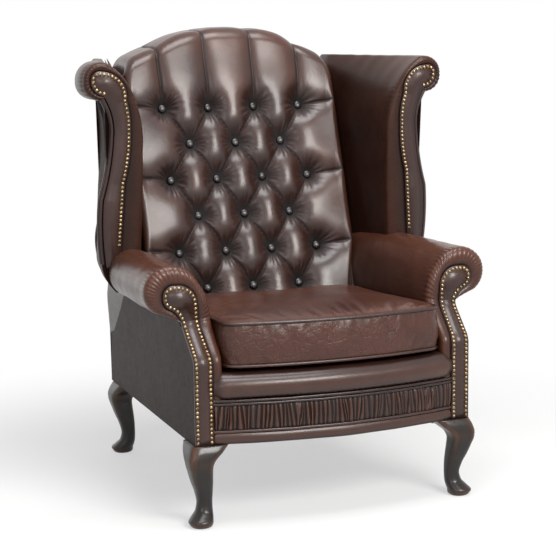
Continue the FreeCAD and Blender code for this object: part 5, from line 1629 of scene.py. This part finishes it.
class ARMCHAIR_OT_seat_cushion(bpy.types.Operator):
    """Loose seat cushion with a swelled border, crown and two pipings"""
    bl_idname = "armchair.seat_cushion"
    bl_label = "Seat cushion"

    def execute(self, context):
        sizes = context.scene.armchair_seat
        # Painted light: a lighter copy of the leather for the cushion, whose top and front face
        # the lamps
        material = leather("cushion_leather", tone=1.7, warmth=1.0, gloss=0.34, shine=0.25,
                           wrinkled=True)
        made = closed_tube("seat_cushion_cover", cushion_rings(sizes), material)
        seam_high = (SEAM_LOW + sizes.border * 1000) * 0.001
        made = self.swollen(made, seam_high)
        self.marked(made, seam_high)
        settle(made, "cushion", "seat_cushion", body="cushion", fill=0.85)
        dark = leather("cushion_piping_leather", tone=1.35, warmth=1.0, gloss=0.33)
        for name, node, height in (
                ("top_piping", "cushion_piping_top", seam_high * 1000),
                ("bottom_piping", "cushion_piping_bottom", SEAM_LOW)):
            line = np.column_stack([cushion_plan(-1.0), np.full(CUSHION_POINTS, height)])
            mesh = path_mesh(name, line, closed=True)
            ring = np.array([v.co for v in mesh.vertices])
            ring = sat_down(ring, seam_high * 1000 - SEAM_LOW)
            mesh.vertices.foreach_set("co", ring.astype(np.float32).ravel())
            cord = piping_tree(sizes.piping, dark).grown(name + "_cord", mesh)
            settle(cord, "piping", node, body="cushion")
        return {"FINISHED"}

    def swollen(self, made, seam_high):
        """The same form on even faces, swelled by pressure between its seams."""
        remesh = made.modifiers.new("even", "REMESH")
        remesh.mode = "VOXEL"
        remesh.voxel_size = SKIN_VOXEL
        view = bpy.context.evaluated_depsgraph_get()
        even = bpy.data.meshes.new_from_object(made.evaluated_get(view))
        made.modifiers.remove(remesh)
        material = made.data.materials[0]
        made.data = even
        made.data.materials.clear()
        made.data.materials.append(material)
        points = np.array([v.co for v in even.vertices])
        near = seam_distance(points)
        seam = (near < 0.0065) & ((np.abs(points[:, 2] - seam_high) < 0.004)
                                  | (np.abs(points[:, 2] - SEAM_LOW * 0.001) < 0.004))
        low = points[:, 2] < 0.3466
        before, move = inflate(made, np.flatnonzero(seam | low), SKIN_TRAVEL)
        sideways = np.linalg.norm(move[:, :2], axis=1, keepdims=True)
        move[:, :2] *= np.minimum(1, SKIN_SIDEWAYS / np.maximum(sideways, 1e-9))
        after = before + move
        after[:, 2] = np.clip(after[:, 2], 0.3443, seam_high + 0.027)
        made.data.vertices.foreach_set("co", after.astype(np.float32).ravel())
        made.data.polygons.foreach_set("use_smooth", [True] * len(made.data.polygons))
        made.data.update()
        finer = made.modifiers.new("finer", "SUBSURF")
        finer.levels = finer.render_levels = 1
        return made

    def marked(self, made, seam_high):
        """Soft dents from sitting, creases by the seams with painted shade along them, and a
        lighter crown, top edge and border.
        """
        mesh = made.data
        points = np.array([v.co for v in mesh.vertices])
        x, y, z = points.T * 1000
        near = seam_distance(points)
        top = rise(z, seam_high * 1000 - 1, seam_high * 1000 + 5)
        border = (z > SEAM_LOW + 2) & (z < seam_high * 1000 - 2)
        dents = ripple(x / 52, y / 46, 91) * 1.1 + ripple(x / 19, y / 21, 92) * 0.35
        points[:, 2] += 0.001 * dents * top * rise(near * 1000, 4, 40)
        pull = gather_wave(np.hypot(x, y * 1.3), 16.0, 95)
        points[:, 2] += 0.0006 * pull * top * np.exp(-((near * 1000 - 12) / 9) ** 2)
        away = points[:, :2] - points[:, :2].mean(0)
        away /= np.maximum(np.linalg.norm(away, axis=1, keepdims=True), 1e-9)
        points[:, :2] += 0.0008 * away * (border * ripple(
            (x + y) / 17, z / 21, 97))[:, None]
        points = sat_down(points, seam_high * 1000 - SEAM_LOW)
        mesh.vertices.foreach_set("co", points.astype(np.float32).ravel())
        # Painted shade along the seams by the pipings
        seam = np.exp(-(np.abs(z - seam_high * 1000) / 3.0) ** 2) + np.exp(
            -(np.abs(z - SEAM_LOW) / 3.0) ** 2)
        crease = np.where(near < 0.012, 0.8 * seam, 0)
        rub = top * (0.30 + 0.22 * ripple(x / 80, y / 90, 99)) + 0.55 * top * np.exp(
            -((near * 1000 - 14) / 12) ** 2) + border * 0.28
        worn = border + top * 0.16
        for name, values in (("crease", crease), ("rub", rub), ("worn", worn)):
            layer = mesh.attributes.get(name) or mesh.attributes.new(name, "FLOAT", "POINT")
            layer.data.foreach_set("value", np.clip(values, 0, 1).astype(np.float32))
        mesh.update()


# Share of the plan, and height
DECK_LEVELS = (
    (0.2, 300.4), (0.6, 300.4), (0.97, 300.4), (0.995, 302.0), (1.0, 306.0), (1.0, 322.0),
    (1.0, 338.0), (0.993, 342.0), (0.98, 343.4), (0.9, 343.7), (0.75, 343.4), (0.5, 343.0),
    (0.25, 343.0), (0.1, 343.0))


class ARMCHAIR_OT_seat_deck(bpy.types.Operator):
    """Cloth-covered deck under the loose cushion"""
    bl_idname = "armchair.seat_deck"
    bl_label = "Seat deck"

    def execute(self, context):
        inward = 62.4
        back = (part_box("seat_deck")[1][1] - FRONT) * 1000
        half_front, half_back = float(seat_half(0)) - 2.5, float(seat_half(back)) - 1.5
        front_at = bow_point(inward, half_front, 0)[1]
        plan = rounded_plan([
            ((half_front, front_at), ((half_front + half_back) / 2, (front_at + back) / 2)),
            ((half_back, back), (0.0, back)),
            ((-half_back, back), (-(half_front + half_back) / 2, (front_at + back) / 2)),
            ((-half_front, front_at), (0.0, bow_point(inward, 0.0, 0)[1]))], 9.0, 220)
        middle = np.array([0.0, (front_at + back) / 2])
        rings = []
        for share, height in DECK_LEVELS:
            flat = middle + (plan - middle) * share
            puff = 0.6 * ripple(flat[:, 0] / 60, flat[:, 1] / 60, 7) * (height > 342.5)
            rings.append(np.column_stack([flat, height - np.abs(puff)]))
        settle(closed_tube("deck_pad", np.array(rings), woven(
            "deck_cloth", (0.055, 0.035, 0.025), (0.10, 0.066, 0.045), 420.0)),
            "deck_cloth", "seat_deck", fill=0.7)
        return {"FINISHED"}


# ---------------------------------------------------------------- legs
REAR_LEG_BACK = 729.0
# Share of the height, how far the leg stands out of its corner, width, and squareness
LEG_LEVELS = (
    (0.0, 6, 42, 0.48), (0.03, 10, 50, 0.48), (0.066, 13, 54, 0.48), (0.122, 5, 48, 0.48),
    (0.193, -6, 38, 0.48), (0.287, -10, 34, 0.46), (0.414, -5.5, 38, 0.40),
    (0.541, 3, 45, 0.34), (0.663, 10, 50, 0.30), (0.762, 15, 55, 0.26),
    (0.829, 16, 62, 0.22), (0.912, 13, 76, 0.16), (1.0, 6, 86, 0.12))


def leg_rings():
    """Levels of the right front leg and the wear on their edges."""
    shares = np.concatenate([[0.0, 0.004, 0.012], np.linspace(0.02, 1, 76)])
    out, side, corner = smooth_levels(LEG_LEVELS, shares)
    angles = np.linspace(0, 2 * math.pi, 65)[:-1] + math.pi / 64
    rings, rub = [], []
    for k, share in enumerate(shares):
        half = side[k] / 2
        if k < 3:
            half -= (2.4, 1.2, 0.3)[k]
        power = 2 + (0.5 - corner[k]) * 9
        radius = (np.abs(np.cos(angles)) ** power + np.abs(np.sin(angles)) ** power) ** (
            -1 / power)
        x = FRONT_HALF + out[k] - side[k] / 2 + half * radius * np.cos(angles)
        y = -out[k] + side[k] / 2 + half * radius * np.sin(angles)
        rings.append(np.stack([x, y, np.full(64, share * LEG_HEIGHT)], 1))
        edge = rise(radius, 1.08, 1.30) * 0.9
        foot = 0.8 * math.exp(-((share - 0.05) / 0.035) ** 2) + 0.3 * math.exp(
            -((share - 0.80) / 0.07) ** 2)
        rub.append(np.clip(edge + foot * 0.6, 0, 1))
    return np.array(rings), np.array(rub)


class ARMCHAIR_OT_legs(bpy.types.Operator):
    """Ebonised cabriole legs with worn edges"""
    bl_idname = "armchair.legs"
    bl_label = "Legs"

    def execute(self, context):
        wood = ebonised_wood("ebonised_wood")
        rings, rub = leg_rings()
        for place in ("front", "rear"):
            for side, flip in SIDES:
                shaped = rings.copy()
                if place == "rear":
                    shaped[..., 0] -= FRONT_HALF - BACK_HALF
                    shaped[..., 1] = REAR_LEG_BACK - shaped[..., 1]
                shaped[..., 0] *= flip
                made = closed_tube("leg_%s_%s_carved" % (place, side), shaped, wood, rub=rub)
                settle(made, "legs", "leg_%s_%s" % (place, side))
        return {"FINISHED"}


# ---------------------------------------------------------------- outsides and frame
class ARMCHAIR_OT_outsides(bpy.types.Operator):
    """Leather for the outside panels and finishes for the frame inside"""
    bl_idname = "armchair.outsides"
    bl_label = "Outsides and frame"

    def execute(self, context):
        finish = {
            # Painted shade: a darker copy of the leather for the outside faces, which turn away
            # from the lamps
            "outside_leather": leather("outside_leather", tone=0.55, warmth=0.3, gloss=0.44,
                                       shine=0.06, coat=0.0),
            "frame_wood": raw_timber("frame_timber"),
            "webbing": woven("jute_webbing", (0.36, 0.25, 0.13), (0.22, 0.15, 0.08), 300.0),
            "springs": spring_steel("spring_steel"),
            "bolts": spring_steel("bolt_steel"),
            "dust_cover": woven("dust_cloth", (0.016, 0.015, 0.016), (0.04, 0.038, 0.038),
                                520.0, 0.9),
        }
        for part in frame["record"]["subparts"]:
            node = frame["nodes"][part["node"]]
            coat = finish.get(part["material_slot"])
            if coat is not None:
                for slot in node.material_slots:
                    slot.material = coat
        return {"FINISHED"}


# ---------------------------------------------------------------- stage
def aimed(turn, tilt, roll):
    """Rotation of a camera that looks along +Y, turned clockwise and tilted down."""
    ahead = Vector((math.sin(turn) * math.cos(tilt), math.cos(turn) * math.cos(tilt),
                    -math.sin(tilt)))
    right = Vector((math.cos(turn), -math.sin(turn), 0))
    upward = right.cross(ahead)
    tilted = right * math.cos(roll) + upward * math.sin(roll)
    high = upward * math.cos(roll) - right * math.sin(roll)
    return Matrix((tilted, high, -ahead)).transposed().to_4x4()


# The photo's camera, fitted to the chair's outline: place in metres, angles in degrees.
CAMERA_PLACE = (-1.461, -3.6747, 1.0725)
CAMERA_TURN, CAMERA_TILT, CAMERA_ROLL = 21.871, 8.596, -0.695
CAMERA_LENS = 108.74
# Name, place, target, width and height in metres, watts, colour
LIGHTS = (
    ("key", (0.7, -3.3, 2.5), (0, 0, 0.55), (1.7, 1.2), 138, (1.0, 0.98, 0.95)),
    ("fill", (-2.6, -2.9, 1.9), (0, 0, 0.5), (1.4, 1.4), 24, (0.95, 0.98, 1.0)),
    ("top", (0.0, -0.6, 3.4), (0, 0, 0.5), (1.9, 1.4), 84, (1.0, 1.0, 1.0)),
    ("left_rear", (-1.9, 3.4, 0.95), (-0.2, 0, 0.55), (2.6, 2.2), 9, (0.96, 1.0, 0.97)))
ROOM_LIGHT = 0.20
FLOOR_HALF = 9


def soft_light(name, place, target, size, watts, colour):
    lamp = bpy.data.lights.new(name, "AREA")
    lamp.shape = "RECTANGLE"
    lamp.size, lamp.size_y = size
    lamp.energy = watts
    lamp.color = colour
    holder = bpy.data.objects.new(name, lamp)
    holder.location = place
    holder.rotation_euler = (Vector(target) - Vector(place)).to_track_quat("-Z", "Y").to_euler()
    bpy.context.scene.collection.objects.link(holder)


def seen_ray(tree):
    """1 for the rays that meet the white background instead of the studio's light."""
    paths = tree.nodes.new("ShaderNodeLightPath")
    seen = paths.outputs["Is Camera Ray"]
    for ray in ("Is Glossy Ray", "Is Transmission Ray"):
        either = tree.nodes.new("ShaderNodeMath")
        either.operation = "MAXIMUM"
        tree.links.new(seen, either.inputs[0])
        tree.links.new(paths.outputs[ray], either.inputs[1])
        seen = either.outputs[0]
    return seen


class ARMCHAIR_OT_stage(bpy.types.Operator):
    """Camera, pale floor, white background and soft studio lights"""
    bl_idname = "armchair.stage"
    bl_label = "Stage"

    def execute(self, context):
        scene = context.scene
        camera = bpy.data.cameras.new("photo_camera")
        camera.lens = CAMERA_LENS
        camera.sensor_width = 36.0
        holder = bpy.data.objects.new("photo_camera", camera)
        holder.matrix_world = Matrix.Translation(CAMERA_PLACE) @ aimed(
            *map(math.radians, (CAMERA_TURN, CAMERA_TILT, CAMERA_ROLL)))
        scene.collection.objects.link(holder)
        scene.camera = holder
        self.floor()
        self.world()
        for light in LIGHTS:
            soft_light(*light)
        scene.view_settings.view_transform = "Standard"
        return {"FINISHED"}

    def floor(self):
        mesh = bpy.data.meshes.new("studio_floor")
        mesh.from_pydata([(x * FLOOR_HALF, y * FLOOR_HALF, 0) for x, y in (
            (-1, -1), (1, -1), (1, 1), (-1, 1))], [], [(0, 1, 2, 3)])
        graph = Graph("studio_floor")
        speckle = graph.noise(40.0, 3.0, 0.5)
        mesh.materials.append(graph.finish(
            Base_Color=graph.mixed(speckle, (0.80, 0.80, 0.80), (0.83, 0.83, 0.83)),
            Roughness=0.75))
        seen = Value(graph, seen_ray(graph.tree))
        away = graph.node("ShaderNodeVectorMath", {"operation": "LENGTH"}, graph.place(), out=1)
        pale = graph.tree.nodes.new("ShaderNodeEmission")
        blend = graph.tree.nodes.new("ShaderNodeMixShader")
        graph.put(blend.inputs[0], seen * (0.55 + 0.45 * away.between(0.75, 1.5)))
        graph.tree.links.new(graph.shader.outputs[0], blend.inputs[1])
        graph.tree.links.new(pale.outputs[0], blend.inputs[2])
        graph.tree.links.new(blend.outputs[0], graph.output.inputs["Surface"])
        made = bpy.data.objects.new("studio_floor", mesh)
        bpy.context.scene.collection.objects.link(made)

    def world(self):
        world = bpy.data.worlds.new("studio")
        bpy.context.scene.world = world
        world.use_nodes = True
        tree = world.node_tree
        tree.nodes.clear()
        strength = tree.nodes.new("ShaderNodeMapRange")
        tree.links.new(seen_ray(tree), strength.inputs["Value"])
        strength.inputs["To Min"].default_value = ROOM_LIGHT
        strength.inputs["To Max"].default_value = 1.0
        sky = tree.nodes.new("ShaderNodeBackground")
        sky.inputs["Color"].default_value = (1, 1, 1, 1)
        tree.links.new(strength.outputs[0], sky.inputs["Strength"])
        end = tree.nodes.new("ShaderNodeOutputWorld")
        tree.links.new(sky.outputs[0], end.inputs["Surface"])


OPERATORS = (
    ARMCHAIR_OT_outsides, ARMCHAIR_OT_legs, ARMCHAIR_OT_arm_pads, ARMCHAIR_OT_wing_pads,
    ARMCHAIR_OT_outside_wings, ARMCHAIR_OT_back_pad, ARMCHAIR_OT_buttons, ARMCHAIR_OT_facings,
    ARMCHAIR_OT_wing_pipings, ARMCHAIR_OT_nails, ARMCHAIR_OT_seat_front,
    ARMCHAIR_OT_seat_deck, ARMCHAIR_OT_seat_cushion, ARMCHAIR_OT_stage)


class ARMCHAIR_PT_panel(bpy.types.Panel):
    """Lists the pieces of the armchair"""
    bl_idname = "ARMCHAIR_PT_panel"
    bl_label = "Wingback armchair"
    bl_space_type = "VIEW_3D"
    bl_region_type = "UI"
    bl_category = "Armchair"

    def draw(self, context):
        for settings in ("back", "seat", "nails", "finishes"):
            group = getattr(context.scene, "armchair_" + settings)
            box = self.layout.box()
            for key in group.__annotations__:
                box.prop(group, key)
        for operator in OPERATORS:
            self.layout.operator(operator.bl_idname)


GROUPS = (("back", BackSizes), ("seat", SeatSizes), ("nails", NailSizes),
          ("finishes", Finishes))


def register():
    for kind in (*[group for _, group in GROUPS], *OPERATORS, ARMCHAIR_PT_panel):
        bpy.utils.register_class(kind)
    for name, group in GROUPS:
        setattr(bpy.types.Scene, "armchair_" + name, PointerProperty(type=group))


def unregister():
    for name, _ in GROUPS:
        delattr(bpy.types.Scene, "armchair_" + name)
    for kind in (ARMCHAIR_PT_panel, *OPERATORS, *[group for _, group in GROUPS]):
        bpy.utils.unregister_class(kind)


def main():
    register()
    for operator in OPERATORS:
        family, name = operator.bl_idname.split(".")
        getattr(getattr(bpy.ops, family), name)()


if __name__ == "__main__":
    main()
